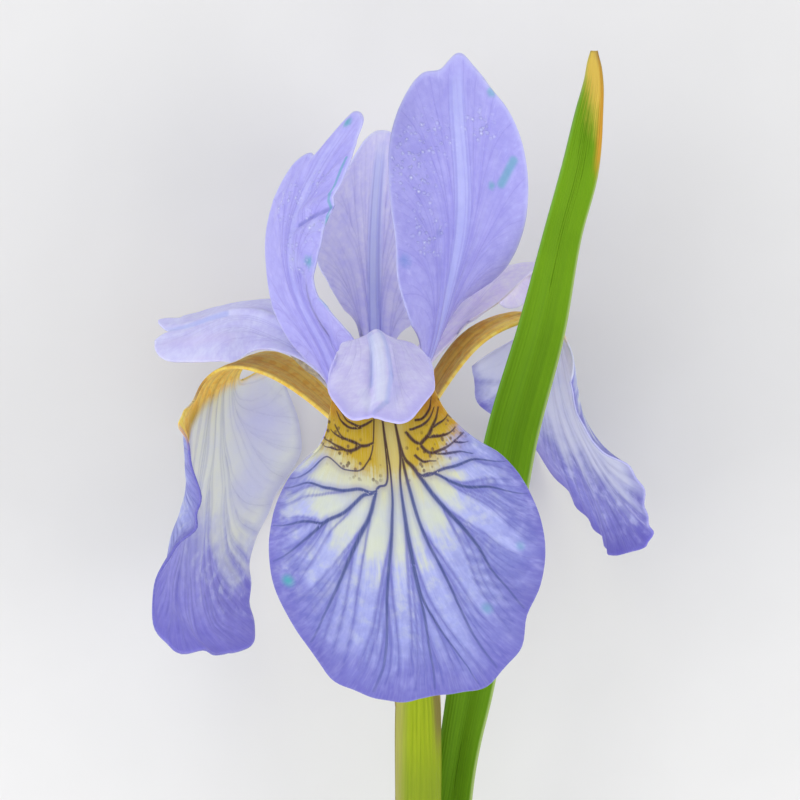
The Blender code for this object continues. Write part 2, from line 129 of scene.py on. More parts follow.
class Petal:
    """A claw that widens to a neck, then a round blade, bent along its midrib.

    In mm: claw is the claw's length, base_half and neck_half its half widths at both ends,
    centre how far up the blade's middle lies, and half_left, half_right, to_tip and to_claw
    the blade's reach from there. shoulder is the angle at which the blade meets the neck,
    flare how wide it opens there, and edge scales the reach round the margin. The curves
    along the midrib: rise and turn aim it, roll tips the blade, cup curls it, sway shifts it
    and groove is its channel.
    """

    flare = 0.6
    turn = ((0, 0),)
    roll = ((0, 0),)

    def __init__(self, **sizes):
        for name, value in sizes.items():
            setattr(self, name, value)
        self.length = self.centre + self.to_tip
        step = 0.2
        self.places = np.arange(-2.0, self.length + 14.0, step)
        along = self.along(self.places)
        steps = (along + np.roll(along, 1, axis=0)) * step / 2
        line = np.cumsum(steps, axis=0)
        line -= [np.interp(0.0, self.places, line[:, k]) for k in range(3)]
        way = math.radians(self.turn[0][1])
        ring, height = self.base
        self.line = line + [math.sin(way) * ring, height, math.cos(way) * ring]

    def along(self, at):
        """The direction of the midrib at places along it."""
        rise = np.radians(curve(self.rise, at))
        turn = np.radians(curve(self.turn, at))
        return rows_of(np.cos(rise) * np.sin(turn), np.sin(rise), np.cos(rise) * np.cos(turn))

    def midrib(self, at):
        """Where places along the midrib come to lie."""
        return rows_of(*(np.interp(at, self.places, self.line[:, k]) for k in range(3)))

    def flat(self, s, t):
        """Where the petal lies before it is bent: across and along the midrib."""
        way = np.radians(self.shoulder) * t
        knots = np.linspace(-1.0, 1.0, len(self.edge))
        reach = curve(tuple(zip(knots, self.edge)), t)
        half = np.where(t < 0, self.half_left, self.half_right)
        tall = np.where(np.cos(way) > 0, self.to_tip, self.to_claw)
        edge_x = half * np.sin(way) * reach
        edge_y = self.centre + tall * np.cos(way) * reach
        neck_x = self.neck_half * t
        share = self.claw / (self.claw + 0.75 * (self.length - self.claw))
        pull = 0.36 * np.hypot(edge_x - neck_x, edge_y - self.claw)
        side = np.abs(t) ** 3
        out_x = (1 - side) * np.sin(way) + side * np.sign(t)
        out_y = (1 - side) * np.cos(way) + side * self.flare
        size = np.hypot(out_x, out_y)
        first_x = neck_x + 0.25 * pull * t
        first_y = self.claw + pull
        inwards = 0.9 * np.abs(edge_x)
        last_x = edge_x - np.clip(out_x / size * pull, -inwards, inwards)
        last_y = edge_y - out_y / size * pull
        u = np.clip((s - share) / (1 - share), 0, 1)
        v = 1 - u
        fan_x = v**3 * neck_x + 3 * v * v * u * first_x + 3 * v * u * u * last_x + u**3 * edge_x
        fan_y = v**3 * self.claw + 3 * v * v * u * first_y + 3 * v * u * u * last_y + u**3 * edge_y
        g = np.clip(s / share, 0, 1)
        claw_x = (self.base_half + (self.neck_half - self.base_half) * g) * t
        return np.where(s < share, claw_x, fan_x), np.where(s < share, self.claw * g, fan_y)

    def surface(self, s, t, relief):
        """The petal's middle surface; relief raises it on its inner face."""
        x, y = self.flat(s, t)
        lift = np.zeros_like(x) + relief
        for size, count, shift, power in self.ruffles:
            lift += size * np.sin(2 * np.pi * (count * t + shift)) * s**power * np.abs(t) ** 0.5
        lift -= curve(self.groove, y) * hump(x, 1.3)
        along = self.along(y)
        turn = np.radians(curve(self.turn, y))
        across = rows_of(np.cos(turn), 0 * turn, -np.sin(turn))
        up = np.cross(along, across)
        tip = np.radians(curve(self.roll, y))[..., None]
        across, up = across * np.cos(tip) + up * np.sin(tip), up * np.cos(tip) - across * np.sin(tip)
        sideways, upwards = curled(x, curve(self.cup, y))
        sideways = sideways + curve(self.sway, y)
        upwards = upwards + lift
        return self.midrib(y) + across * sideways[..., None] + up * upwards[..., None]


# Each petal's own shape, as it grew.
SHAPES = {
    "fall_front": dict(
        claw=27, base_half=1.4, neck_half=6.7, centre=49.1, half_left=16.9, half_right=18.1,
        to_tip=24.5, to_claw=21.2, shoulder=134.3,
        edge=(
            0.85, 0.9, 0.94, 0.98, 1.02, 1.05, 1.03, 1.01, 0.99, 0.93, 0.89, 0.86, 0.82, 0.81, 0.85,
            0.91, 0.91, 0.95, 0.94, 1.03, 1.09, 1.1, 1.08, 1.04, 0.97,
        ),
        rise=(
            (0, 40), (8, 44), (14, 31), (20, 12), (25, -16), (30, -50), (35, -74), (42, -82),
            (70, -96),
        ),
        cup=((0, 0.12), (20, 0.06), (30, -0.01), (40, -0.012), (70, -0.01)),
        sway=((0, 0), (28, 0.3), (47, 1.8), (65, 4.9)),
    ),
    "fall_left": dict(
        claw=28, base_half=1.4, neck_half=6.6, centre=47.5, half_left=19.8, half_right=25.3,
        to_tip=22.8, to_claw=21.8, shoulder=135.5,
        edge=(
            1.3, 1.16, 1.01, 0.91, 0.94, 1.01, 1.06, 1.05, 0.96, 0.94, 0.93, 0.88, 0.89, 0.94, 1.01,
            1.09, 1.19,
        ),
        rise=(
            (0, 42.5), (8, 40.6), (14, 30.3), (20, 6), (25, -33.8), (30, -66.5), (35, -73.7),
            (42, -77.8), (67, -141.2),
        ),
        turn=((0, -120.9), (30, -119.4), (65, -106.8)),
        roll=((0, 0.1), (30, -7.2), (65, 5)),
        cup=((0, 0.121), (20, 0.004), (30, -0.023), (70, -0.004)),
        sway=((0, 0), (28, 1.7), (47, -3), (65, 8.9)),
    ),
    "fall_right": dict(
        claw=28, base_half=1.4, neck_half=6.6, centre=47.5, half_left=16, half_right=18.6, to_tip=21.5,
        to_claw=24.5, shoulder=116.7,
        edge=(
            1.13, 1.08, 1.03, 1, 0.97, 0.95, 0.92, 0.88, 0.89, 0.93, 0.97, 0.98, 0.99, 0.99, 0.99,
            1.03, 1.15,
        ),
        rise=(
            (0, 61.9), (8, 64), (14, 55.3), (20, 27.5), (25, 4.1), (30, -54.1), (35, -61.4),
            (45, -65.2), (67, -76.8),
        ),
        turn=((0, 115.8), (30, 108.5), (65, 111.6)),
        roll=((0, -1.2), (30, -1.9), (65, -3.2)),
        cup=((0, 0.115), (20, -0.014), (30, -0.031), (70, 0.048)),
        sway=((0, 0), (28, -5), (47, 6.6), (65, 1.2)),
    ),
    "standard_left": dict(
        claw=11, base_half=1.2, neck_half=3, centre=26, half_left=8.9, half_right=8.5, to_tip=22.7,
        to_claw=14, shoulder=155.1,
        edge=(
            1.08, 1.05, 1.02, 0.99, 0.98, 0.99, 1, 1, 1, 0.99, 0.98, 0.96, 0.92, 0.86, 0.8, 0.98, 1.07,
            1.09, 1.09, 1.04, 1.05, 1.02, 0.96, 0.84, 0.72, 0.53, 0.52, 0.6, 0.76, 0.95, 1.02, 1.03,
            1.05,
        ),
        rise=((0, 49.5), (12, 67.3), (22, 80), (32, 100.3), (45, 111)),
        turn=((0, -59.8), (26, -77.6)),
        roll=((0, -0.1), (12, 20.9), (30, 19.5), (50, 22.3)),
        cup=((0, 0.1), (15, 0.03), (50, 0.02)),
        sway=((0, 0), (15, 2.3), (30, -3.5), (52, 2.7)),
    ),
    "standard_right": dict(
        claw=9, base_half=1.2, neck_half=1.4, centre=34, half_left=10.4, half_right=9.2, to_tip=23.5,
        to_claw=21.2, shoulder=133.2,
        edge=(
            1.02, 0.98, 0.96, 0.99, 1.05, 1.05, 0.99, 0.905, 0.97, 0.93, 0.95, 1.02, 1.04, 1.02, 1.01,
            0.99, 0.95,
        ),
        rise=((0, 74.9), (14, 64.4), (24, 71.1), (34, 79.5), (53, 87.1)),
        turn=((0, 64.4),),
        roll=((0, 2.6), (14, 10.4), (34, -49), (53, -91.7)),
        cup=((0, 0.1), (15, 0.03), (50, 0.02)),
        sway=((0, 0), (15, -2.6), (34, -2.1), (53, -5.1)),
    ),
    "standard_back": dict(
        claw=8, base_half=1.2, neck_half=1.4, centre=29, half_left=9.4, half_right=9.9, to_tip=18.3,
        to_claw=11.2, shoulder=146.4,
        edge=(
            1.01, 1, 1, 0.99, 0.99, 0.98, 0.97, 0.97, 0.99, 1.05, 1.11, 1.13, 1.11, 1.03, 0.93, 0.89,
            0.84,
        ),
        rise=((0, 59.3), (20, 51.7), (50, 123.7)),
        turn=((0, 192.6),),
        roll=((0, 1), (50, 37.7)),
        cup=((0, 0.1), (15, 0.03), (50, 0.02)),
        sway=((0, 0), (10, -1), (45, -5.8)),
    ),
    "style_front": dict(
        claw=19, base_half=1.3, neck_half=4, centre=32, half_left=8.1, half_right=6.9, to_tip=11.8,
        to_claw=11.3, shoulder=113.5, flare=4,
        edge=(
            0.9, 0.95, 0.97, 0.97, 0.97, 0.97, 0.94, 0.86, 0.93, 0.97, 0.97, 0.94, 0.94, 0.95, 0.97, 1,
            1.02,
        ),
        rise=((0, 45.4), (8, 48.1), (16, 38.3), (24, -13.7), (32, -30.5), (40, -28.8)),
        cup=((0, -0.1), (15, -0.08), (30, -0.06), (40, -0.03)),
        sway=((0, 0), (14, -0.2), (20, -0.85), (27, 0), (34, 0.5)),
    ),
    "style_left": dict(
        claw=13, base_half=1.6, neck_half=4, centre=32, half_left=9.8, half_right=8.3, to_tip=10.03,
        to_claw=13.7, shoulder=115.9, flare=2.4,
        edge=(
            0.976, 0.971, 0.964, 0.965, 0.977, 0.98, 0.972, 0.957, 0.934, 0.901, 0.858, 0.77, 0.722,
            0.886, 0.989, 0.822, 0.652, 0.742, 0.84, 0.844, 0.859, 0.873, 0.883, 0.877, 0.852, 0.826,
            0.837, 0.886, 0.956, 1.04, 1.091, 1.106, 1.099,
        ),
        rise=((0, 48.5), (8, 40.5), (16, 48.7), (24, 0), (32, -22.6), (42, 6.4)),
        turn=((0, -114.8),),
        roll=((0, 0.2), (12, 13.9), (20, -30.3), (28, -26.9), (40, -33.8)),
        cup=((0, -0.1), (15, -0.1), (30, -0.07), (40, -0.07)),
        sway=((0, 0), (20, 1.4), (36, -0.3)),
    ),
    "style_right": dict(
        claw=13, base_half=1.6, neck_half=5.1, centre=29, half_left=9.1, half_right=8, to_tip=8.2,
        to_claw=15.5, shoulder=140.7,
        edge=(0.99, 1.02, 1.02, 1.01, 1, 0.98, 0.99, 0.97, 0.82, 0.97, 1.01, 1, 1, 1, 1.01, 1.03, 1.04),
        rise=((0, 83.5), (8, 56.9), (16, 39.7), (24, 45.9), (32, 4.3), (42, -4.4)),
        turn=((0, 113.5),),
        roll=((0, -1.4), (20, -17.9), (40, -39.8)),
        cup=((0, -0.1), (15, -0.1), (30, -0.08), (40, -0.04)),
        sway=((0, 0), (20, 0), (36, 7.5)),
    ),
}

# Soft waves of the margins: size in mm, waves a side, shift, and how sharply they
# grow towards the margin.
RUFFLES = {
    "fall_front": ((0.8, 2.6, 0.10, 5), (0.35, 4.1, 0.35, 7)),
    "fall_left": ((0.9, 2.2, 0.40, 5), (0.4, 3.9, 0.05, 7)),
    "fall_right": ((0.8, 2.3, 0.70, 5), (0.4, 3.7, 0.55, 7)),
    "standard_left": ((0.7, 1.9, 0.30, 4),),
    "standard_right": ((0.7, 2.1, 0.15, 4), (0.3, 3.8, 0.60, 6)),
    "standard_back": ((0.7, 1.8, 0.80, 4),),
    "style_front": ((0.5, 2.0, 0.25, 6),),
    "style_left": ((0.5, 2.0, 0.60, 6),),
    "style_right": ((0.5, 2.0, 0.10, 6),),
}

# Depth of the channel along the midrib of a fall, and of the ridge on a style arm.
FALL_GROOVE = ((0, 0.2), (20, 0.45), (55, 0.45), (66, 0.1))
STANDARD_GROOVE = ((0, 0.2), (12, 0.4), (40, 0.35), (50, 0.1))
ARM_RIDGE = ((0, -0.3), (12, -0.8), (30, -0.9), (40, -0.3))

# The line of the leaf beside the line of the stem, as y and how far off it is in x and z.
LEAF_LINE = (
    (-107.0, 1.75, -3.05), (-92.0, 1.75, -3.05), (-82.0, 1.8, -3.2), (-75.0, 2.3, -4.3),
    (-68.0, 3.45, -4.55), (-60.0, 4.7, -4.6), (-53.3, 5.6, -4.15), (-42.4, 7.85, -3.0),
    (-19.7, 15.0, 3.55), (-3.2, 18.1, 6.9), (10.5, 21.9, 6.3), (24.3, 25.0, 5.1), (32.4, 27.2, 4.1),
    (40.1, 28.5, 3.1), (44.7, 29.2, 2.1), (48.7, 29.3, 1.3),
)
# Its half width, how much it curls and which way it faces, each by y.
LEAF_HALF = (
    (-107, 4.6), (-92, 4.9), (-80, 4.7), (-70, 3.9), (-62, 3.2), (-52.5, 2.9), (-41.3, 3.3),
    (-19.3, 3.7), (-3.2, 3.6), (10.5, 3.3), (24.3, 2.65), (32.4, 2.6), (40.1, 1.95), (44.7, 1.3),
    (47.6, 0.75), (48.7, 0.35),
)
LEAF_CURL = ((-107, 0.31), (-84, 0.31), (-75, 0.2), (-66, 0.09), (-52.5, 0.04), (48, 0.02))
LEAF_FACE = ((-107, -30), (-78, -30), (-60, -16), (-41.3, -5), (0, 0), (48, 10))


def unfold(*rows):
    """Veins from rows of half width in mm, how many places of the row before are shared, and
    the further places as (along, across), from the base of the claw to the margin."""
    line = ()
    found = []
    for width, shared, *places in rows:
        line = line[:shared] + tuple(places)
        found.append((width, line))
    return found


# The front fall's main veins from its left side to its right. Those beside them have no
# width: they only guide the thin veins that fill the shoulders.
LEFT_GUIDES = unfold(
    (
        0, 0, (0, -0.62), (0.42, -0.5), (0.5, -0.4), (0.52, -0.56), (0.551, -0.771), (0.66, -0.93),
        (0.99, -0.97),
    ),
    (0, 3, (0.568, -0.611), (0.608, -0.817), (0.7, -0.9), (0.99, -0.945)),
    (
        0, 0, (0, -0.36), (0.44, -0.2), (0.53, -0.235), (0.572, -0.529), (0.64, -0.774),
        (0.76, -0.87), (0.99, -0.915),
    ),
)
FRONT_VEINS = unfold(
    (
        0.1705, 0, (0, -0.36), (0.44, -0.2), (0.53, -0.23), (0.579, -0.36), (0.629, -0.589),
        (0.709, -0.803), (0.99, -0.885),
    ),
    (
        0.1705, 0, (0, -0.1), (0.5, -0.06), (0.582, -0.03), (0.62, -0.225), (0.641, -0.48),
        (0.716, -0.666), (0.864, -0.823), (0.99, -0.85),
    ),
    (0.1395, 4, (0.645, -0.42), (0.705, -0.537), (0.787, -0.626), (0.875, -0.703), (0.99, -0.735)),
    (0.186, 7, (0.871, -0.649), (0.99, -0.64)),
    (
        0.2325, 4, (0.667, -0.331), (0.726, -0.423), (0.79, -0.466), (0.851, -0.474), (0.912, -0.466),
        (0.99, -0.43),
    ),
    (
        0.279, 2, (0.546, -0.014), (0.591, 0.02), (0.635, 0.017), (0.678, -0.031), (0.72, -0.08),
        (0.763, -0.14), (0.809, -0.174), (0.9, -0.177), (0.99, -0.185),
    ),
    (
        0.2325, 0, (0, 0.16), (0.504, 0.166), (0.56, 0.2), (0.6, 0.165), (0.673, 0.163), (0.761, 0.149),
        (0.85, 0.12), (0.936, 0.074), (0.99, 0.066),
    ),
    (0.1395, 6, (0.82, 0.145), (0.869, 0.18), (0.92, 0.215), (0.99, 0.23)),
    (
        0.279, 2, (0.547, 0.211), (0.589, 0.251), (0.634, 0.297), (0.681, 0.329), (0.727, 0.357),
        (0.772, 0.38), (0.818, 0.38), (0.864, 0.363), (0.93, 0.33), (0.99, 0.31),
    ),
    (
        0.2325, 2, (0.55, 0.23), (0.6, 0.403), (0.657, 0.506), (0.713, 0.56), (0.77, 0.586),
        (0.827, 0.586), (0.879, 0.563), (0.932, 0.546), (0.99, 0.515),
    ),
    (0.155, 4, (0.616, 0.46), (0.64, 0.59), (0.723, 0.691), (0.824, 0.774), (0.99, 0.81)),
    (0.155, 5, (0.65, 0.654), (0.755, 0.82), (0.99, 0.91)),
)
RIGHT_GUIDES = unfold(
    (
        0, 0, (0, 0.42), (0.44, 0.3), (0.511, 0.317), (0.557, 0.486), (0.603, 0.631),
        (0.656, 0.751), (0.738, 0.84), (0.99, 0.935),
    ),
    (0, 4, (0.616, 0.683), (0.715, 0.889), (0.99, 0.955)),
    (
        0, 0, (0, 0.66), (0.44, 0.52), (0.52, 0.55), (0.589, 0.726), (0.642, 0.873), (0.8, 0.95),
        (0.99, 0.975),
    ),
    (0, 3, (0.556, 0.72), (0.58, 0.829), (0.639, 0.94), (0.99, 0.988)),
)

# Short veins that net the gold of the front fall's claw, each from its inner end.
FRONT_TWIGS = unfold(
    (
        0.187, 0, (0.537, -0.234), (0.545, -0.351), (0.551, -0.423), (0.554, -0.503), (0.564, -0.595),
        (0.58, -0.679), (0.589, -0.82),
    ),
    (
        0.187, 0, (0.551, -0.423), (0.562, -0.475), (0.58, -0.559), (0.598, -0.639), (0.62, -0.719),
        (0.662, -0.824), (0.745, -0.94),
    ),
    (0.136, 0, (0.564, -0.595), (0.581, -0.675), (0.605, -0.768), (0.635, -0.864)),
    (
        0.153, 0, (0.498, -0.242), (0.507, -0.343), (0.517, -0.443), (0.522, -0.567), (0.529, -0.679),
        (0.52, -0.772),
    ),
    (0.136, 0, (0.518, -0.427), (0.53, -0.543), (0.542, -0.651), (0.548, -0.764), (0.541, -0.84)),
    (0.119, 0, (0.592, -0.619), (0.621, -0.695), (0.66, -0.784), (0.729, -0.88)),
    (
        0.187, 0, (0.523, 0.327), (0.549, 0.447), (0.562, 0.507), (0.574, 0.539), (0.588, 0.579),
        (0.599, 0.623), (0.61, 0.671), (0.636, 0.752), (0.669, 0.824), (0.709, 0.884), (0.763, 0.94),
    ),
    (
        0.204, 0, (0.562, 0.507), (0.558, 0.563), (0.558, 0.619), (0.554, 0.695), (0.552, 0.8),
        (0.544, 0.904),
    ),
    (0.17, 0, (0.558, 0.607), (0.577, 0.687), (0.607, 0.772), (0.646, 0.848), (0.691, 0.92)),
    (0.136, 0, (0.554, 0.695), (0.571, 0.788), (0.602, 0.88), (0.64, 0.97)),
    (0.136, 0, (0.599, 0.623), (0.627, 0.691), (0.662, 0.76), (0.703, 0.812), (0.78, 0.86)),
    (0.119, 0, (0.669, 0.824), (0.714, 0.86), (0.763, 0.896)),
    (0.136, 0, (0.511, 0.499), (0.515, 0.607), (0.513, 0.699), (0.505, 0.788), (0.478, 0.876)),
    (0.136, 0, (0.521, 0.395), (0.526, 0.495), (0.528, 0.595), (0.53, 0.719), (0.522, 0.844)),
    (0.153, 0, (0.57, 0.415), (0.584, 0.463), (0.597, 0.511), (0.604, 0.567), (0.616, 0.615)),
)


def spread(table, k):
    """The first and the k-th number of each row."""
    return tuple((row[0], row[k]) for row in table)


def stem_centre(at):
    """The middle of the stem at the given heights, as rows of x, y, z."""
    return rows_of(curve(spread(STEM_LINE, 1), at), at, curve(spread(STEM_LINE, 2), at))


def leaf_centre(at):
    """The midrib of the leaf at the given heights, as rows of x, y, z."""
    middle = stem_centre(at)
    middle[..., 0] += curve(spread(LEAF_LINE, 1), at)
    middle[..., 2] += curve(spread(LEAF_LINE, 2), at)
    return middle


def leaf_surface(s, t, relief):
    """The leaf clasps the stem low down, then opens out flat beside the flower."""
    y = LEAF_LINE[0][0] + (LEAF_LINE[-1][0] - LEAF_LINE[0][0]) * s
    line = leaf_centre(y)
    along = leaf_centre(y + 0.5) - line
    along /= np.linalg.norm(along, axis=-1, keepdims=True)
    face = np.radians(curve(LEAF_FACE, y))
    up = rows_of(np.sin(face), 0 * face, np.cos(face))
    up -= along * (up * along).sum(-1, keepdims=True)
    up /= np.linalg.norm(up, axis=-1, keepdims=True)
    across = np.cross(along, up)
    x = curve(LEAF_HALF, y) * t
    rib = 0.5 * hump(x, 1.2) * np.clip((y + 66) / 12, 0, 1)
    sideways, upwards = curled(x, curve(LEAF_CURL, y))
    upwards = upwards - rib + relief
    return line + across * sideways[..., None] + up * upwards[..., None]


def spathe_surface(s, t, relief, foot, tip, way, spans, radii):
    """A bract wrapped round the stem, drawn in to a point at its tip."""
    y = foot + (tip - foot) * s
    angle = np.radians(way + curve(spans, s) * t)
    out = curve(radii, s) + relief
    middle = stem_centre(y)
    middle[..., 1] -= 1.5 * np.abs(t) ** 2 * s**6
    return middle + rows_of(np.sin(angle) * out, 0 * out, np.cos(angle) * out)


def stamen_line(fall, arm, at):
    """The way a stamen takes: out of the tube, then close under its style arm."""
    way = math.radians(fall.turn[0][1])
    ring = 2.35
    foot = np.array([math.sin(way) * ring, FALL_BASE[1], math.cos(way) * ring])
    between = 0.45 * fall.midrib(at) + 0.55 * arm.midrib(at)
    share = np.clip(at / 7.0, 0, 1)
    share = (share**2 * (3 - 2 * share))[..., None]
    return foot * (1 - share) + between * share


# Veins. A vein is its half width in mm and its line as places along and across. Its marks
# are made from points this many mm apart.
VEIN_STEP = 0.12


def fan_of_veins(seed, starts, forks, wide):
    """Main veins that fork again and again on their way to the margin."""
    rng = random.Random(seed)
    veins = []

    def grow(line, low, high, left, width):
        s0, t0 = line[-1]
        aim = (low + high) / 2 + (high - low) * rng.uniform(-0.12, 0.12)
        end = 0.99 if not left else s0 + (0.99 - s0) * rng.uniform(0.22, 0.5)
        for u in np.linspace(0.1, 1.0, 9):
            s = s0 + (end - s0) * u
            line = line + [(s, t0 + (aim - t0) * ((s - s0) / (0.99 - s0)) ** 0.75)]
        if left:
            cut = (low + high) / 2 + (high - low) * rng.uniform(-0.1, 0.1)
            grow(line, low, cut, left - 1, width * rng.uniform(0.7, 0.9))
            grow(line, cut, high, left - 1, width * rng.uniform(0.7, 0.9))
        else:
            veins.append((width, tuple(line)))

    edges = np.linspace(-0.985, 0.985, len(starts) + 1)
    for k, (s0, t0) in enumerate(starts):
        off_middle = abs(k - (len(starts) - 1) / 2) / len(starts)
        line = [(0.0, t0 * 1.1), (s0 * 0.6, t0), (s0, t0)]
        grow(line, edges[k], edges[k + 1], forks, wide * (1.15 - off_middle))
    return veins


def steps_along(line):
    """Close places along and across the petal on the smooth line through a vein's own places."""
    line = np.array(line, float)
    far = np.concatenate([[0], np.cumsum(np.hypot(*np.diff(line, axis=0).T))])
    at = np.linspace(0, far[-1], 160)
    along = curve(tuple(zip(far, line[:, 0])), at)
    return along, np.clip(curve(tuple(zip(far, line[:, 1])), at), -1, 1)


def without_shared(veins):
    """The veins, each from where it leaves a wider one whose first places it shares."""
    seen = set()
    found = []
    for width, line in sorted(veins, reverse=True):
        first = 0
        while first + 2 < len(line) and line[first + 1] in seen:
            first += 1
        seen.update(line)
        found.append((width, line[first:]))
    return found


def fine_veins(petal, mains, apart, wide, seed, first_at=0.0):
    """Thin veins that branch off the main ones and fill the spaces between them."""
    rng = random.Random(seed)
    s = np.linspace(0.0, 0.99, 200)
    lines = [np.full_like(s, -1.0)]
    for _, line in mains:
        along, across = steps_along(line)
        lines.append(np.interp(s, np.maximum.accumulate(along), across))
    lines.append(np.full_like(s, 1.0))
    found = []
    for left, right in zip(lines[:-1], lines[1:]):
        gap = right - left
        first = int(np.argmax(gap > 0.02))
        x0, y0 = petal.flat(s[-1:], left[-1:])
        x1, y1 = petal.flat(s[-1:], right[-1:])
        many = int(round(float(np.hypot(x1 - x0, y1 - y0)[0]) / apart))
        for k in range(1, many):
            f = (k + rng.uniform(-0.2, 0.2)) / many
            side = min(f, 1 - f) * 2
            begin = max(s[first], first_at)
            s0 = begin + (0.97 - begin) * (0.8 - 0.68 * side + rng.uniform(-0.06, 0.06))
            start = 0.0 if f < 0.5 else 1.0
            last = rng.uniform(0.955, 0.99)
            on = np.linspace(s0, last, 40)
            u = ((on - s0) / (0.99 - s0)) ** 0.6
            share = start + (f - start) * u
            low = np.interp(on, s, left)
            high = np.interp(on, s, right)
            found.append((wide * rng.uniform(0.75, 1.15), tuple(zip(on, low + (high - low) * share))))
    return found


def grown_veins(petal, seed, starts, forks, widths, apart):
    """A petal's main and thin veins, of these half widths, the thin ones this far apart.
    Every petal has its own seed, so that no two are veined alike."""
    mains = fan_of_veins(seed, starts, forks, widths[0])
    return mains, fine_veins(petal, mains, apart, widths[1], seed + 20)


def front_veins(petal, seed, wide, apart):
    """The front fall's veins: the main ones as they show, with thin ones between them."""
    guides = LEFT_GUIDES + FRONT_VEINS + RIGHT_GUIDES
    fines = fine_veins(petal, guides, apart, wide, seed, first_at=0.62)
    return without_shared(FRONT_VEINS) + FRONT_TWIGS, fines


def points_along(petal, veins, trunk=1.0):
    """Points along the veins on the flat petal, with all that the marks need to know of each.
    trunk is how wide the veins of the claw's middle stay."""
    rows = []
    for width, line in veins:
        along, across = steps_along(line)
        x, y = petal.flat(along, across)
        run = np.concatenate([[0], np.cumsum(np.hypot(np.diff(x), np.diff(y)))])
        at = np.arange(0, run[-1], VEIN_STEP)
        x, y = np.interp(at, run, x), np.interp(at, run, y)
        way = rows_of(np.gradient(x), np.gradient(y))
        way /= np.maximum(np.linalg.norm(way, axis=1, keepdims=True), 1e-9)
        share = at / max(run[-1], 1e-6)
        first = np.full(len(at), len(rows) and rows[-1][1][-1] + 1)
        last = first + len(at) - 1
        widths = width * (1.3 - 0.7 * soft(share, 0.4, 0.9))
        in_trunk = 1 - soft(np.abs(np.interp(at, run, across)), 0.15, 0.4)
        in_trunk = in_trunk * (1 - soft(np.interp(at, run, along), 0.6, 0.72))
        widths = widths * (1 - (1 - trunk) * in_trunk)
        rows.append((first, last, x, y, way[:, 0], way[:, 1], widths, share))
    return [np.concatenate(row) for row in zip(*rows)]


def nearest_of(x, y, flat):
    """Which of the points is nearest to each flat place, and how far off it is in mm."""
    tree = kdtree.KDTree(len(x))
    for k in range(len(x)):
        tree.insert((x[k], y[k], 0.0), k)
    tree.balance()
    found = [tree.find((u, v, 0.0)) for u, v in flat]
    return np.array([row[1] for row in found]), np.array([row[2] for row in found])


def mark_veins(piece, name, flat, veins):
    """Keeps at each face's corners how far off its nearest vein is, in half widths, signed
    by the side; how far the corner is past the vein's end; and the share along the vein.
    Gives back the distance in mm from each vertex to the nearest vein."""
    first, last, x, y, way_x, way_y, widths, share = veins
    corners = np.empty(len(piece.data.loops), np.int32)
    piece.data.loops.foreach_get("vertex_index", corners)
    corners = corners.reshape(-1, 4)
    middles = flat[corners].mean(1)
    nearest, _ = nearest_of(x, y, middles)
    window = nearest[:, None] + np.arange(-9, 10)
    window = np.clip(window, first[nearest][:, None], last[nearest][:, None]).astype(int)
    gap_x = flat[corners][:, :, None, 0] - x[window][:, None, :]
    gap_y = flat[corners][:, :, None, 1] - y[window][:, None, :]
    pick = np.argmin(gap_x**2 + gap_y**2, axis=2)
    near = np.take_along_axis(window, pick, axis=1)
    gap_x = flat[corners][..., 0] - x[near]
    gap_y = flat[corners][..., 1] - y[near]
    off = (gap_y * way_x[near] - gap_x * way_y[near]) / widths[nearest][:, None]
    slide = gap_x * way_x[near] + gap_y * way_y[near]
    past = np.where(near == last[near], slide, np.where(near == first[near], -slide, 0.0))
    held = piece.data.attributes.new(name, "FLOAT_VECTOR", "CORNER")
    rows = rows_of(off, np.maximum(past, 0.0), share[near]).astype(np.float32)
    held.data.foreach_set("vector", rows.ravel())
    return nearest_of(x, y, flat)[1]


# Making the pieces.


def fresh_grid(name, rows, columns):
    """A new flat grid, with its places along (0 to 1) and across (-1 to 1)."""
    bpy.ops.object.select_all(action="DESELECT")
    bpy.ops.mesh.primitive_grid_add(x_subdivisions=columns, y_subdivisions=rows, size=2.0, location=(0, 0, 0))
    piece = bpy.context.object
    piece.name = name
    piece.data.name = name
    flat = np.empty(len(piece.data.vertices) * 3)
    piece.data.vertices.foreach_get("co", flat)
    flat = flat.reshape(-1, 3)
    return piece, np.clip((flat[:, 1] + 1) / 2, 0, 1), np.clip(flat[:, 0], -1, 1)


def lay(piece, points):
    """Puts the piece's vertices at these places of the flower's own frame."""
    piece.data.vertices.foreach_set("co", place_of(points).ravel())
    piece.data.update()


def note(piece, name, rows):
    """Keeps three numbers a vertex for the piece's finish to read."""
    held = piece.data.attributes.new(name, "FLOAT_VECTOR", "POINT")
    held.data.foreach_set("vector", np.ascontiguousarray(rows, dtype=np.float32).ravel())


def edit(piece, *steps):
    """Runs edit-mode tools on the whole piece."""
    bpy.ops.object.select_all(action="DESELECT")
    piece.select_set(True)
    bpy.context.view_layer.objects.active = piece
    bpy.ops.object.mode_set(mode="EDIT")
    bpy.ops.mesh.select_all(action="SELECT")
    for step in steps:
        step()
    bpy.ops.object.mode_set(mode="OBJECT")


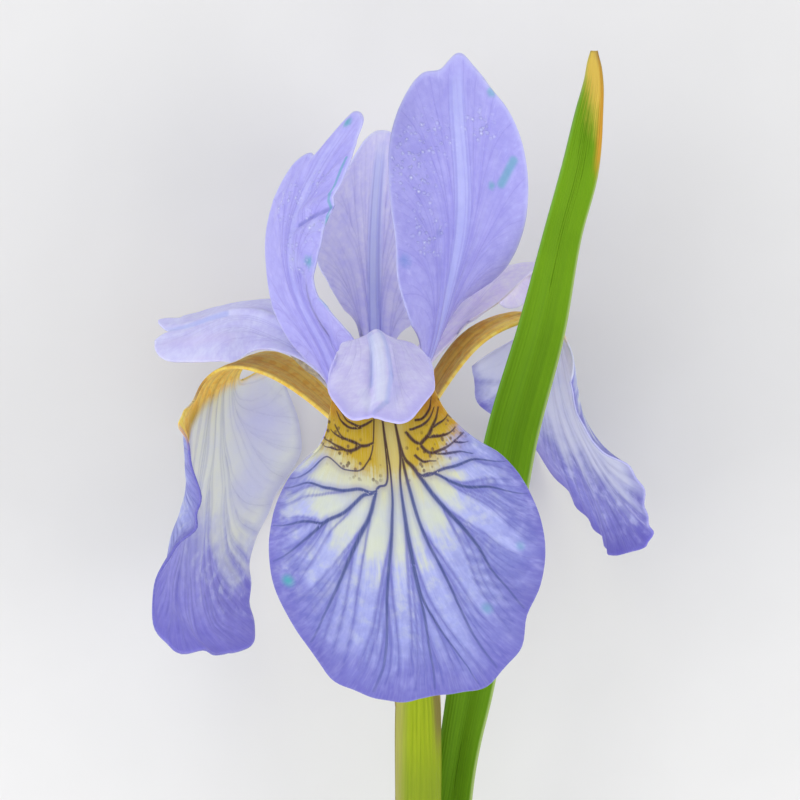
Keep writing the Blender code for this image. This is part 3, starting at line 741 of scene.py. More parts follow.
def give_thickness(piece, thick, body, finishes, rim=0):
    """Makes the sheet solid, thick where body is 1 and thin where it is 0.
    rim tells which finish the rim takes."""
    group = piece.vertex_groups.new(name="thickness")
    for k, share in enumerate(body):
        group.add([k], float(share), "REPLACE")
    for finish in finishes:
        piece.data.materials.append(finish)
    edit(piece, bpy.ops.mesh.flip_normals)
    solid = piece.modifiers.new("thickness", "SOLIDIFY")
    solid.thickness = thick[0] * MM
    solid.offset = 0.0
    solid.vertex_group = "thickness"
    solid.thickness_vertex_group = thick[1] / thick[0]
    solid.material_offset = 1
    solid.material_offset_rim = rim
    bpy.ops.object.modifier_apply(modifier="thickness")
    piece.vertex_groups.clear()
    bpy.ops.object.shade_smooth()


def belongs(piece, node):
    """The piece rides on the root in the place of this solid."""
    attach(piece, "root")
    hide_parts(node)


def grow_petal(
    name, petal, grid, thick, veins, finishes, pucker=(0.09, 0.10), relief=None, rim=0, trunk=1.0
):
    """A petal: its veined, puckered surface, made solid and thin at its margin.
    pucker is how high it rises between the fine and between the main veins."""
    piece, s, t = fresh_grid(name, *grid)
    x, y = petal.flat(s, t)
    flat = rows_of(x, y)
    main = mark_veins(piece, "main_vein", flat, points_along(petal, veins[0], trunk))
    fine = mark_veins(piece, "fine_vein", flat, points_along(petal, veins[1]))
    grown = soft(s, 0.05, 0.35)
    lift = (pucker[0] * soft(fine, 0.0, 0.55) + pucker[1] * soft(main, 0.0, 0.9)) * grown
    if relief is not None:
        lift = lift + relief(s, t, x, y)
    lay(piece, petal.surface(s, t, lift))
    note(piece, "flat", rows_of(x, y, s))
    note(piece, "near", rows_of(main, fine, t))
    body = np.clip(1.0 - s * 1.5, 0, 1) * (1 - 0.5 * t**2)
    give_thickness(piece, thick, body, finishes, rim)
    return piece


def grow_stalk(name, middles, at, wide, sides, shape, finish, deep=None, cut=0):
    """A stalk: rings round a line, closed at both ends, with its skin shaped by shape.
    at is each ring's place along, wide and deep its half widths; cut rings show the pith."""
    deep = wide if deep is None else deep
    piece, s, t = fresh_grid(name, len(middles) - 1, sides)
    ring = np.rint(s * (len(middles) - 1)).astype(int)
    along = np.gradient(middles, axis=0)
    along /= np.linalg.norm(along, axis=1, keepdims=True)
    side = np.cross([0.0, 0.0, 1.0], along)
    side /= np.linalg.norm(side, axis=1, keepdims=True)
    front = np.cross(along, side)
    angle = np.pi * t
    skin = shape(s, angle)
    x = np.sin(angle) * wide[ring] * skin
    y = np.cos(angle) * deep[ring] * skin
    lay(piece, middles[ring] - side[ring] * x[:, None] + front[ring] * y[:, None])
    note(piece, "flat", rows_of(angle, at[ring], ring < cut))
    note(piece, "cut", rows_of(x, y, 0 * x))
    ends = bpy.ops.mesh

    def close():
        ends.remove_doubles(threshold=1e-7)
        ends.select_all(action="DESELECT")
        ends.select_non_manifold()
        ends.fill_holes(sides=0)
        ends.select_all(action="SELECT")
        ends.normals_make_consistent(inside=False)

    edit(piece, close)
    piece.data.materials.append(finish)
    bpy.ops.object.shade_smooth_by_angle(angle=math.radians(50))
    return piece


# Finishes.


class Tone:
    """A number, colour or vector in a finish. Sums written on it add the nodes for them."""

    def __init__(self, finish, socket):
        self.finish = finish
        self.socket = socket

    def sum_of(self, kind, first, second=None):
        feeds = {0: first} if second is None else {0: first, 1: second}
        return self.finish.node("ShaderNodeMath", {"operation": kind}, feeds)

    def __add__(self, other):
        return self.sum_of("ADD", self, other)

    __radd__ = __add__

    def __sub__(self, other):
        return self.sum_of("SUBTRACT", self, other)

    def __rsub__(self, other):
        return self.sum_of("SUBTRACT", other, self)

    def __mul__(self, other):
        return self.sum_of("MULTIPLY", self, other)

    __rmul__ = __mul__

    def __truediv__(self, other):
        return self.sum_of("DIVIDE", self, other)

    def __pow__(self, other):
        return self.sum_of("POWER", self, other)

    def size(self):
        return self.sum_of("ABSOLUTE", self)

    def least(self, other):
        return self.sum_of("MINIMUM", self, other)

    def most(self, other):
        return self.sum_of("MAXIMUM", self, other)

    def from_to(self, low, high):
        """0 at low, 1 at high and an easy slope between, whichever is the larger."""
        if isinstance(low, float | int) and isinstance(high, float | int) and low > high:
            return 1 - self.from_to(high, low)
        feeds = {"Value": self, "From Min": low, "From Max": high}
        return self.finish.node("ShaderNodeMapRange", {"interpolation_type": "SMOOTHSTEP"}, feeds)

    def parts(self):
        split = self.finish.node("ShaderNodeSeparateXYZ", feeds={0: self})
        return [Tone(self.finish, out) for out in split.socket.node.outputs]

    def length(self):
        return self.finish.node("ShaderNodeVectorMath", {"operation": "LENGTH"}, {0: self}, "Value")


class Finish:
    """One material being mixed."""

    def __init__(self, name, roughness, **fixed):
        self.material = bpy.data.materials.new(name)
        self.material.use_nodes = True
        self.tree = self.material.node_tree
        self.shader = self.tree.nodes["Principled BSDF"]
        self.shader.inputs["Roughness"].default_value = roughness
        for label, value in fixed.items():
            self.shader.inputs[label.replace("_", " ")].default_value = value

    def node(self, kind, settings=None, feeds=None, out=0):
        """Adds a node: its settings first, then the values or links of its sockets."""
        made = self.tree.nodes.new(kind)
        for label, value in (settings or {}).items():
            setattr(made, label, value)
        for slot, value in (feeds or {}).items():
            self.feed(made.inputs[slot], value)
        return Tone(self, made.outputs[out])

    def feed(self, socket, value):
        """Links a tone to the socket, or sets the socket's own value."""
        if isinstance(value, Tone):
            self.tree.links.new(value.socket, socket)
        elif socket.type == "RGBA":
            socket.default_value = (*value[:3], 1.0)
        else:
            socket.default_value = value

    def kept(self, name):
        """Three numbers that the piece's vertices hold."""
        return self.node("ShaderNodeAttribute", {"attribute_name": name}, out="Vector")

    def across(self):
        """Place across the piece by its own UV map, from -1 to 1."""
        return self.node("ShaderNodeTexCoord", out="UV").parts()[0] * 2.0 - 1.0

    def vector(self, x, y, z=0.0):
        return self.node("ShaderNodeCombineXYZ", feeds={0: x, 1: y, 2: z})

    def spot(self, x, y, at, reach):
        """1 in the middle of a round mark at a flat place, fading out to its edge."""
        return self.vector(x - at[0], y - at[1]).length().from_to(reach, 0.0)

    def stroke(self, x, y, start, stop, wide):
        """1 along a straight line between two flat places, fading out at wide to each side."""
        far, way_x, way_y = way_between(start, stop)
        along = ((x - start[0]) * way_x + (y - start[1]) * way_y).most(0.0).least(far)
        off = self.vector(x - along * way_x - start[0], y - along * way_y - start[1])
        return off.length().from_to(wide, wide * 0.2)

    def noise(self, at, scale=1.0, detail=3.0, rough=0.6):
        feeds = {"Vector": at, "Scale": scale, "Detail": detail, "Roughness": rough}
        return self.node("ShaderNodeTexNoise", feeds=feeds)

    def cells(self, at, scale):
        return self.node("ShaderNodeTexVoronoi", feeds={"Vector": at, "Scale": scale}, out="Distance")

    def mix(self, share, first, second):
        """first where share is 0, second where it is 1."""
        made = self.tree.nodes.new("ShaderNodeMix")
        made.data_type = "RGBA"
        for slot, value in ((0, share), (6, first), (7, second)):
            self.feed(made.inputs[slot], value)
        return Tone(self, made.outputs[2])

    def over(self, share, tone):
        """Lays a tone over the colour so far, fully where share is 1."""
        self.colour = self.mix(share, self.colour, tone)

    def done(self, roughness=None, height=None, depth=0.05):
        """Feeds the shader and gives back the material. depth is in mm."""
        self.feed(self.shader.inputs["Base Color"], self.colour)
        if roughness is not None:
            self.feed(self.shader.inputs["Roughness"], roughness)
        if height is not None:
            feeds = {"Height": height, "Distance": depth * MM}
            self.feed(self.shader.inputs["Normal"], self.node("ShaderNodeBump", feeds=feeds))
        return self.material


# Light goes a little way into petals and leaves, and glances off them only faintly.
PETAL_SKIN = dict(
    Subsurface_Weight=0.6, Subsurface_Radius=(1.0, 1.0, 1.0), Subsurface_Scale=0.0012,
    Specular_IOR_Level=0.12,
)
GREEN_SKIN = dict(
    Subsurface_Weight=0.2, Subsurface_Radius=(0.7, 1.0, 0.3), Subsurface_Scale=0.0008,
    Specular_IOR_Level=0.06,
)

VIOLET = (0.205, 0.225, 0.50)
LIGHT_VIOLET = (0.31, 0.335, 0.64)
DEEP_VIOLET = (0.115, 0.102, 0.40)
HALO_VIOLET = (0.125, 0.13, 0.42)
PALE_LILAC = (0.50, 0.52, 0.82)
PALE_HAZE = (0.42, 0.45, 0.68)
SIGNAL_WHITE = (0.53, 0.565, 0.46)
SIGNAL_GREY = (0.46, 0.49, 0.54)
SIGNAL_YELLOW = (0.56, 0.52, 0.22)
SIGNAL = (SIGNAL_WHITE, SIGNAL_GREY, SIGNAL_YELLOW)
GOLD = (0.47, 0.33, 0.012)
PALE_GOLD = (0.53, 0.43, 0.06)
ORANGE = (0.50, 0.22, 0.008)
# The arch's gold: partly its own paler gold, partly painted light that makes up for the shade under the style
# arm.
ARCH_GOLD = (0.98, 0.66, 0.13)
VEIN_BROWN = (0.055, 0.022, 0.016)
VEIN_VIOLET = (0.055, 0.075, 0.22)
STANDARD_DEEP = (0.30, 0.285, 0.66)
STANDARD_LIGHT = (0.39, 0.375, 0.75)
# Painted bluish shade along the folds of the style arms.
FOLD_SHADE = (0.36, 0.42, 0.82)
TEAL = (0.07, 0.34, 0.38)


def vein_line(finish, name, fade):
    """How much of a vein's colour shows: 1 in its middle, fading past its end."""
    off, past, share = finish.kept(name).parts()
    return off.size().from_to(1.6, 0.4) * past.from_to(0.25, 0.0) * (1 - share.from_to(0.45, 1.0) * fade)


def petal_skin(name, roughness, main_fade=0.3, fine_fade=0.6, **more):
    """Starts a petal's finish. With it come the flat place x, y and s; how far off the veins
    are in mm, and the place across; and how much of the main and the thin veins shows."""
    f = Finish(name, roughness, **more, **PETAL_SKIN)
    places = f.kept("flat").parts()
    near = f.kept("near").parts()
    return f, places, near, vein_line(f, "main_vein", main_fade), vein_line(f, "fine_vein", fine_fade)


def fall_finish(
    name, reach, narrow, gold_to, claw_to=28.5, claw_lean=0.0, lean=0.0, bold=1.0, deep_from=0.86, lobes=0.0,
    arch_to=29.0, blur=1.0, blotchy=1.0, tones=(VIOLET, LIGHT_VIOLET, DEEP_VIOLET), signal=SIGNAL, marks=(),
):
    """A fall: gold claw, pale signal netted with dark veins, violet blade.

    The signal reaches this far from the neck along the middle and narrows to the
    sides; lean slants its end. bold is how dark the veins are, lobes how far the gold
    is parted by the pale middle stripe, arch_to how far the light gold of the arch
    reaches (partly its own paler gold, partly painted light for the shade it lies in),
    blur how softly the signal ends.
    """
    f, (x, y, s), (main_far, fine_far, t), main, fine = petal_skin(name, 0.55, 0.15, 0.4)
    violet_tone, light_tone, deep_tone = tones
    white_tone, grey_tone, yellow_tone = signal
    streaks = f.noise(f.vector(t * 30.0, s * 9.0))
    silk = f.noise(f.vector(t * 110.0, s * 26.0), detail=2.0)
    blotch = f.noise(f.vector(x, y), 0.24)
    mottle = f.noise(f.vector(x, y, 4.0), 0.9)
    grain = f.cells(f.vector(x, y), 6.0)
    # Violet of the blade: light between the veins, deeper and cloudy towards its end.
    between = fine_far.from_to(0.05, 0.6) * 0.6 + mottle.from_to(0.35, 0.7) * 0.5
    violet = f.mix(between.least(1.0), violet_tone, light_tone)
    deep = (s - deep_from) / max(0.05, 1.0 - deep_from) + (blotch - 0.5) * 1.2
    violet = f.mix(deep.from_to(0.0, 1.1) * 0.75, violet, deep_tone)
    fleck = f.noise(f.vector(t * 26.0, s * 20.0, 9.0), detail=2.0, rough=0.5).from_to(0.58, 0.72)
    violet = f.mix(fleck * s.from_to(0.6, 0.9) * 0.18, violet, PALE_LILAC)
    # The signal reaches furthest down the middle and midway between two veins.
    down = (y - 29.0).most(0.0)
    radius = f.vector(x, down).length()
    slant = x.size() / (down + 2.0)
    end = (slant.least(2.0) * -narrow) + x * lean + reach
    past_end = radius - end + (streaks - 0.5) * (8.0 / blur)
    past_end = past_end + main_far.from_to(1.1, 0.0) * 3.5 + (blotch - 0.5) * 9.0
    f.colour = f.mix(past_end.from_to(6.5, -3.0) * 0.7, violet, PALE_HAZE)
    patches = f.noise(f.vector(x, y, 7.0), 0.55).from_to(0.44, 0.74)
    f.over(patches * past_end.from_to(13.0, 1.0) * 0.75, grey_tone)
    pale = f.mix(blotch.from_to(0.3, 0.8) * blotchy, white_tone, grey_tone)
    shoulder = (x.size() - down * 0.55).from_to(1.0, 6.0) * lobes
    f.over(streaks.from_to(0.48, 0.68) * shoulder * 0.45, PALE_LILAC)
    inside = past_end.from_to(1.4 * blur, -3.2 * blur)
    f.over(inside, pale)
    near_gold = radius + (streaks - 0.5) * 6.0
    f.over(inside * near_gold.from_to(gold_to + 6.0, gold_to) * 0.6, yellow_tone)
    # Gold of the claw, more orange at its borders, parted by the pale middle stripe.
    stripe = (x - 0.5).size().from_to(1.0 + 1.8 * lobes, 0.6) * lobes * y.from_to(28.0, 34.0)
    orange = (x.size() - down * 0.8).from_to(3.5, 8.0) * 0.6
    orange = orange.most(y.from_to(33.0, 29.5) * x.size().from_to(1.5, 4.0) * 0.75)
    gold = f.mix(orange, GOLD, ORANGE)
    gold = f.mix(streaks.from_to(0.5, 0.75) * 0.4, gold, PALE_GOLD)
    gold = f.mix(stripe * 0.5, gold, yellow_tone)
    # The arch's light gold is partly painted light for the shade it lies in.
    arch = f.mix(mottle.from_to(0.42, 0.62) * 0.55, ARCH_GOLD, (0.86, 0.42, 0.03))
    gold = f.mix(y.from_to(arch_to, arch_to - 5.0), gold, arch)
    gold_share = (radius + (streaks - 0.5) * 4.0 + (mottle - 0.5) * 2.5).from_to(gold_to + 1.2, gold_to - 1.2)
    edge_of_claw = y + (streaks - 0.5) * 3.0 - x.size() * 0.15 - x * claw_lean
    gold_share = gold_share.most(edge_of_claw.from_to(claw_to + 1.5, claw_to - 1.5))
    f.over(gold_share * (1 - stripe * 0.15), gold)
    # Small brown specks round the end of the gold.
    speck = f.cells(f.vector(x, y * 0.8), 1.35).from_to(0.36, 0.2)
    band = radius.from_to(gold_to - 4.5, gold_to - 2.5) * radius.from_to(gold_to + 2.5, gold_to + 0.5)
    f.over(speck * band * (1 - stripe) * y.from_to(26.0, 29.0) * 0.75 * bold, VEIN_BROWN)
    # Netted veins, brown in the claw and violet in the blade, each with a soft halo.
    in_claw = gold_share.most(radius.from_to(gold_to + 3.0, gold_to - 1.0))
    halo_tone = f.mix(in_claw, HALO_VIOLET, (0.42, 0.23, 0.03))
    f.over(fine_far.from_to(0.5, 0.0) * 0.42 * bold * s.from_to(0.42, 0.6), halo_tone)
    fine_tone = f.mix(in_claw, (0.10, 0.10, 0.37), (0.16, 0.07, 0.02))
    bold = y.from_to(22.0, 29.0) * (bold * 0.88) + bold * 0.12
    f.over(fine * (in_claw * 0.3 + 0.5 - s.from_to(0.7, 0.85) * 0.2) * bold, fine_tone)
    soft_side = main_far.from_to(1.1, 0.0) * 0.5 * bold * s.from_to(0.3, 0.5)
    f.over(soft_side * (1 - in_claw * 0.6), halo_tone)
    main_tone = f.mix(in_claw, VEIN_VIOLET, VEIN_BROWN)
    f.over(main * bold * (0.97 - s.from_to(0.78, 1.0) * 0.4), main_tone)
    # A darker rim, and a painted whitish sheen like silk.
    f.over(s.from_to(0.95, 1.0) * 0.4, deep_tone)
    for at, far, share, mark in marks:
        f.over(f.spot(x, y, at, far) * share, mark)
    f.over(silk.from_to(0.4, 0.75) * 0.07, (0.8, 0.8, 0.95))
    rough = 0.5 + streaks * 0.16 - fine * 0.08
    height = silk * 0.5 + grain * 0.25 - fine * 0.5 - main * 0.8
    return f.done(rough, height)


def petal_back_finish(name, tone, rib):
    """The outer face of a petal: paler, with raised veins and a darker midrib."""
    f, (x, y, s), (_, _, t), main, fine = petal_skin(name, 0.6)
    silk = f.noise(f.vector(t * 90.0, s * 24.0), detail=2.0)
    blotch = f.noise(f.vector(x, y), 0.25, rough=0.55)
    f.colour = f.mix(blotch.from_to(0.3, 0.75) * 0.5, tone, PALE_LILAC)
    f.over(y.from_to(14.0, 4.0) * 0.6, (0.42, 0.42, 0.30))
    f.over(x.size().from_to(1.3, 0.3) * 0.4, rib)
    shown = 0.35
    f.over(fine * shown, (0.26, 0.24, 0.62))
    f.over(main * shown * 1.5, (0.20, 0.18, 0.54))
    f.over(s.from_to(0.985, 1.0) * 0.3, (0.62, 0.62, 0.9))
    rough = 0.56 + blotch * 0.12
    return f.done(rough, silk * 0.5 + fine * 0.5 + main * 0.9)


def standard_finish(name, band=0.35, painted_sheen=0.3, veins=1.0, marks=(), lines=(), dew=(), tone=1.0):
    """A standard: lilac with soft darker veins, a pale midrib band and a painted whitish sheen."""
    f, (x, y, s), (main_far, fine_far, t), main, fine = petal_skin(
        name, 0.48, Coat_Weight=0.12, Coat_Roughness=0.35
    )
    silk = f.noise(f.vector(t * 90.0, s * 20.0))
    cloud = f.noise(f.vector(x, y * 0.6), 0.28)
    mottle = f.noise(f.vector(x, y, 3.0), 1.1)
    grain = f.cells(f.vector(x, y), 7.0)
    # tone lightens the lilac: painted light for a face that lies in shade.
    low = tuple(min(v * tone, 0.92) for v in STANDARD_DEEP)
    high = tuple(min(v * tone, 0.95) for v in STANDARD_LIGHT)
    f.colour = f.mix(cloud.from_to(0.3, 0.7) * 0.6 + mottle.from_to(0.35, 0.7) * 0.4, low, high)
    # Painted whitish sheen.
    f.over(silk.from_to(0.55, 0.8) * painted_sheen, (0.58, 0.58, 0.90))
    rib = x.size().from_to(1.7, 0.7) * s.from_to(1.0, 0.9)
    f.over(rib * band, (0.46, 0.50, 0.86))
    line = (x.size() - 0.85).size().from_to(0.24, 0.08)
    f.over(line * s.from_to(0.2, 0.4) * 0.4 * s.from_to(1.0, 0.85), (0.24, 0.22, 0.60))
    f.over(y.from_to(9.0, 3.0) * 0.6, (0.46, 0.42, 0.46))
    f.over(fine_far.from_to(0.4, 0.0) * 0.15, (0.27, 0.25, 0.66))
    f.over(fine * 0.22 * veins, (0.24, 0.21, 0.60))
    f.over(main_far.from_to(0.6, 0.0) * 0.22 * veins, (0.27, 0.25, 0.66))
    f.over(main * 0.4 * veins, (0.23, 0.20, 0.58))
    f.over(s.from_to(0.98, 1.0) * 0.35, (0.54, 0.56, 0.88))
    for start, stop, wide, share, mark in lines:
        f.over(f.stroke(x, y, start, stop, wide) * share, mark)
    for at, far, share, mark in marks:
        ragged = (mottle - 0.5) * far
        f.over(f.spot(x + ragged, y - ragged, at, far) * share, mark)
    # Tiny beads of dew lie in patches, raised and smoother; their lighter tone and near-white glints are
    # painted highlights.
    rough = 0.42 + silk * 0.2
    height = silk * 0.6 + grain * 0.25 - fine * 0.45 - main * 0.8
    if dew:
        drops = f.cells(f.vector(x, y, 2.0), 1.25)
        wet = sum((f.spot(x, y, at, far) for at, far in dew), 0.0).least(1.0) * mottle.from_to(0.36, 0.5)
        bead = drops.from_to(0.42, 0.24) * wet
        f.over(bead * 0.35, (0.58, 0.62, 0.95))
        f.over(drops.from_to(0.12, 0.05) * wet * 0.8, (0.95, 0.97, 1.0))
        rough = rough - bead * 0.3
        height = height + bead * 4.0
    return f.done(rough, height)


def arm_finish(
    name, low=(0.66, 0.58, 1.0), high=(0.78, 0.74, 1.0), lines=(), rim=(0.60, 0.58, 0.93), rim_share=0.3
):
    """A style arm: very pale lilac, painted bluish shade along its folds, a painted whitish sheen, its crest
    lobes with thin light rims.
    """
    f, (x, y, s), (_, _, t), main, fine = petal_skin(name, 0.45, Coat_Weight=0.1, Coat_Roughness=0.4)
    silk = f.noise(f.vector(t * 60.0, s * 14.0))
    cloud = f.noise(f.vector(x, y), 0.35)
    mottle = f.noise(f.vector(x, y, 3.0), 1.3)
    f.colour = f.mix(cloud.from_to(0.3, 0.72) * 0.65 + mottle.from_to(0.35, 0.7) * 0.35, low, high)
    # Painted whitish sheen.
    f.over(silk.from_to(0.5, 0.8) * 0.25, (0.72, 0.73, 0.95))
    f.over(y.from_to(12.0, 2.0) * 0.4, (0.44, 0.42, 0.66))
    f.over(fine * 0.2, (0.38, 0.36, 0.78))
    f.over(main * 0.25, (0.34, 0.32, 0.74))
    for start, stop, wide, share, mark in lines:
        f.over(f.stroke(x, y, start, stop, wide) * share, mark)
    f.over(s.from_to(0.93, 1.0) * rim_share, rim)
    rough = 0.42 + silk * 0.18
    return f.done(rough, silk * 0.6 - fine * 0.4 - main * 0.5)


# Blades and bracts keep their place across from minus this to this.
BLADE_HALF = 4.0


def leaf_finish(name, under=False):
    """A sword leaf: fine parallel veins, pale margins and a dry tip."""
    f = Finish(name, 0.42, **GREEN_SKIN)
    x, y, s = f.kept("flat").parts()
    t = f.across()
    lines = f.noise(f.vector(t * 17.0, s * 2.2), rough=0.65)
    hair = f.noise(f.vector(t * 60.0, s * 6.0), detail=2.0)
    cloud = f.noise(f.vector(x, y), 0.12)
    f.colour = f.mix(lines.from_to(0.25, 0.75), (0.090, 0.215, 0.005), (0.135, 0.29, 0.008))
    f.over(hair.from_to(0.55, 0.75) * 0.2, (0.15, 0.33, 0.010))
    f.over(s.from_to(0.62, 0.85) * 0.6, (0.175, 0.35, 0.010))
    f.over(cloud.from_to(0.4, 0.7) * 0.2, (0.08, 0.19, 0.004))
    f.over(s.from_to(0.45, 0.1) * 0.4, (0.055, 0.145, 0.003))
    f.over(t.from_to(0.86, 0.96) * 0.8, (0.36, 0.46, 0.16))
    f.over(t.from_to(-0.84, -0.95) * 0.55, (0.20, 0.42, 0.05))
    dry = s + t * 0.015 + (cloud - 0.5) * 0.05 + (lines - 0.5) * 0.05
    f.over(dry.from_to(0.93, 0.975), (0.76, 0.54, 0.09))
    brown = dry.from_to(0.895, 0.94) * t.from_to(0.5, 0.9)
    f.over(brown, (0.58, 0.30, 0.035))
    f.over((dry - 0.99).from_to(0.0, 0.03) * 0.6, (0.36, 0.22, 0.08))
    if under:
        f.over(0.35, (0.22, 0.34, 0.12))
    rough = 0.36 + lines * 0.2 + dry.from_to(0.93, 1.0) * 0.25
    return f.done(rough, lines * 0.6 + hair * 0.3)


def stalk_finish(name, fresh, dark, pale):
    """A green stalk: fine ribs, a soft bloom and small flecks; its cut ends show the pith."""
    f = Finish(name, 0.45, **GREEN_SKIN)
    angle, y, core = f.kept("flat").parts()
    ribs = f.noise(f.vector(angle * 9.0, y * 0.09), detail=2.0)
    cloud = f.noise(f.vector(angle * 1.2, y * 0.12), rough=0.55)
    fleck = f.cells(f.vector(angle * 2.6, y * 0.7), 1.0).from_to(0.16, 0.06)
    f.colour = f.mix(ribs.from_to(0.35, 0.7), dark, fresh)
    f.over(cloud.from_to(0.45, 0.75) * 0.6, pale)
    f.over(fleck * 0.35, (0.5, 0.5, 0.2))
    bundles = f.cells(f.kept("cut"), 2.6).from_to(0.3, 0.12)
    pith = f.mix(bundles * 0.6, (0.55, 0.60, 0.30), (0.20, 0.28, 0.08))
    f.over(core, pith)
    rough = 0.4 + cloud * 0.2
    return f.done(rough, ribs * 0.8 + cloud * 0.2, 0.06)


def spathe_finish(name, papery_from):
    """A bract: green low down with parallel veins, drying to brown paper at its margins and tip."""
    f = Finish(name, 0.5, **GREEN_SKIN)
    x, y, s = f.kept("flat").parts()
    t = x / BLADE_HALF
    lines = f.noise(f.vector(t * 14.0, s * 2.0), rough=0.65)
    cloud = f.noise(f.vector(x, y), 0.3, 4.0)
    green = f.mix(lines.from_to(0.25, 0.75), (0.24, 0.32, 0.010), (0.35, 0.43, 0.018))
    green = f.mix(s.from_to(0.64, 0.42) * 0.55, green, (0.17, 0.24, 0.02))
    green = f.mix(t.from_to(0.1, 0.4) * s.from_to(0.5, 0.68) * 0.9, green, (0.20, 0.15, 0.05))
    green = f.mix(t.from_to(-0.45, -0.85) * 0.6, green, (0.42, 0.36, 0.13))
    paper = f.mix(lines.from_to(0.3, 0.7), (0.22, 0.14, 0.06), (0.50, 0.38, 0.19))
    paper = f.mix(cloud.from_to(0.5, 0.75) * 0.6, paper, (0.60, 0.52, 0.34))
    dried = s + t.most(0.0) ** 2.0 * 0.5 + t.size() ** 6.0 * 0.3 + (cloud - 0.5) * 0.3 + (lines - 0.5) * 0.15
    f.colour = f.mix(dried.from_to(papery_from, papery_from + 0.22), green, paper)
    f.over(t.size().from_to(0.93, 1.0) * 0.6, (0.16, 0.09, 0.04))
    rough = 0.45 + dried.from_to(papery_from, papery_from + 0.2) * 0.3
    return f.done(rough, lines * 1.0 + cloud * 0.3, 0.1)


def stamen_finish(name):
    """A stamen: pale lilac-cream filament and a dull anther dusted with pollen."""
    f = Finish(name, 0.6, Subsurface_Weight=0.2, Subsurface_Scale=0.0008)
    angle, y, _ = f.kept("flat").parts()
    dust = f.cells(f.vector(angle * 4.0, y * 4.0), 1.0)
    cloud = f.noise(f.vector(angle, y), 1.4)
    filament = f.mix(cloud, (0.58, 0.54, 0.62), (0.70, 0.67, 0.60))
    anther = f.mix(cloud.from_to(0.35, 0.65), (0.46, 0.40, 0.28), (0.66, 0.58, 0.36))
    anther = f.mix(dust.from_to(0.35, 0.1) * 0.6, anther, (0.80, 0.74, 0.52))
    f.colour = f.mix(y.from_to(10.2, 11.0), filament, anther)
    return f.done(0.55 + cloud * 0.2, dust * 1.0 + cloud * 0.4, 0.08)


# The flower.
KINDS = {
    "fall": (FALL_BASE, FALL_GROOVE),
    "standard": (STANDARD_BASE, STANDARD_GROOVE),
    "style": (ARM_BASE, ARM_RIDGE),
}
petals = {}
for name, sizes in SHAPES.items():
    base, groove = KINDS[name.split("_")[0]]
    # The outer faces of these two, which show, are only faintly grooved.
    if name in ("standard_right", "standard_left"):
        groove = tuple((at, deep * 0.3) for at, deep in groove)
    petals[name] = Petal(base=base, groove=groove, ruffles=RUFFLES[name], **sizes)

fall_back = petal_back_finish("fall_back", (0.36, 0.35, 0.70), (0.34, 0.36, 0.60))
standard_back = petal_back_finish("standard_back_face", (0.38, 0.36, 0.78), (0.36, 0.36, 0.70))

# Rows and columns of the petals' grids.
FALL_GRID = (170, 120)
STANDARD_GRID = (150, 110)
ARM_GRID = (120, 96)

# Where the main veins start, as places along and across.
CLAW_VEINS = ((0.36, -0.75), (0.40, -0.42), (0.42, -0.14), (0.42, 0.14), (0.40, 0.42), (0.36, 0.75))
STANDARD_VEINS = ((0.2, -0.7), (0.24, -0.28), (0.24, 0.28), (0.2, 0.7))
ARM_VEINS = ((0.3, -0.6), (0.34, -0.2), (0.34, 0.2), (0.3, 0.6))


def fall_relief(seed, bent_in=0.0):
    """Small crinkles of a fall's margin and soft dents of its blade; its tip may be bent in."""
    rng = random.Random(seed)
    waves = [(rng.uniform(5.5, 10.0), rng.uniform(0, 1), rng.uniform(0.06, 0.13)) for _ in range(5)]
    dents = [(rng.uniform(0.9, 2.2), rng.uniform(0.1, 0.25), rng.uniform(0, 6.28)) for _ in range(4)]

    def relief(s, t, x, y):
        lift = -bent_in * s**10
        for count, shift, size in waves:
            lift += size * np.sin(2 * np.pi * (count * t + shift)) * s**12
        for count, size, shift in dents:
            dent = np.sin(count * x * 0.35 + shift) * np.sin(count * y * 0.22 + shift * 1.7)
            lift += size * dent * soft(s, 0.5, 0.8)
        return lift

    return relief


# Tones of the falls' outer faces: violet, light and deep; those of the signal; and marks as
# place, reach, share and tone.
OUTSIDE = ((0.24, 0.225, 0.63), (0.34, 0.33, 0.76), (0.185, 0.165, 0.57))
RIGHT_TONES = ((0.17, 0.165, 0.54), (0.28, 0.275, 0.70), (0.13, 0.11, 0.48))
LEFT_SIGNAL = ((0.74, 0.77, 0.66), (0.60, 0.63, 0.86), (0.78, 0.75, 0.40))
RIGHT_SIGNAL = ((0.64, 0.66, 0.90), (0.54, 0.55, 0.90), (0.68, 0.68, 0.62))
LEFT_MARKS = (
    ((-13.0, 36.0), 10.0, 0.8, (0.50, 0.50, 0.82)),
    ((-13.0, 46.0), 9.0, 0.6, (0.46, 0.46, 0.82)),
    ((2.0, 52.0), 9.0, 0.45, (0.44, 0.46, 0.78)),
)
RIGHT_MARKS = (((15.0, 52.0), 9.0, 0.5, (0.44, 0.42, 0.86)),)
FRONT_MARKS = (
    ((-15.3, 53.4), 1.3, 0.95, TEAL), ((10.5, 56.9), 1.2, 0.45, TEAL), ((16.4, 48.7), 1.0, 0.4, TEAL),
)
SIDE_FACE = dict(reach=27.0, narrow=8.0, gold_to=7.0, arch_to=33.0)
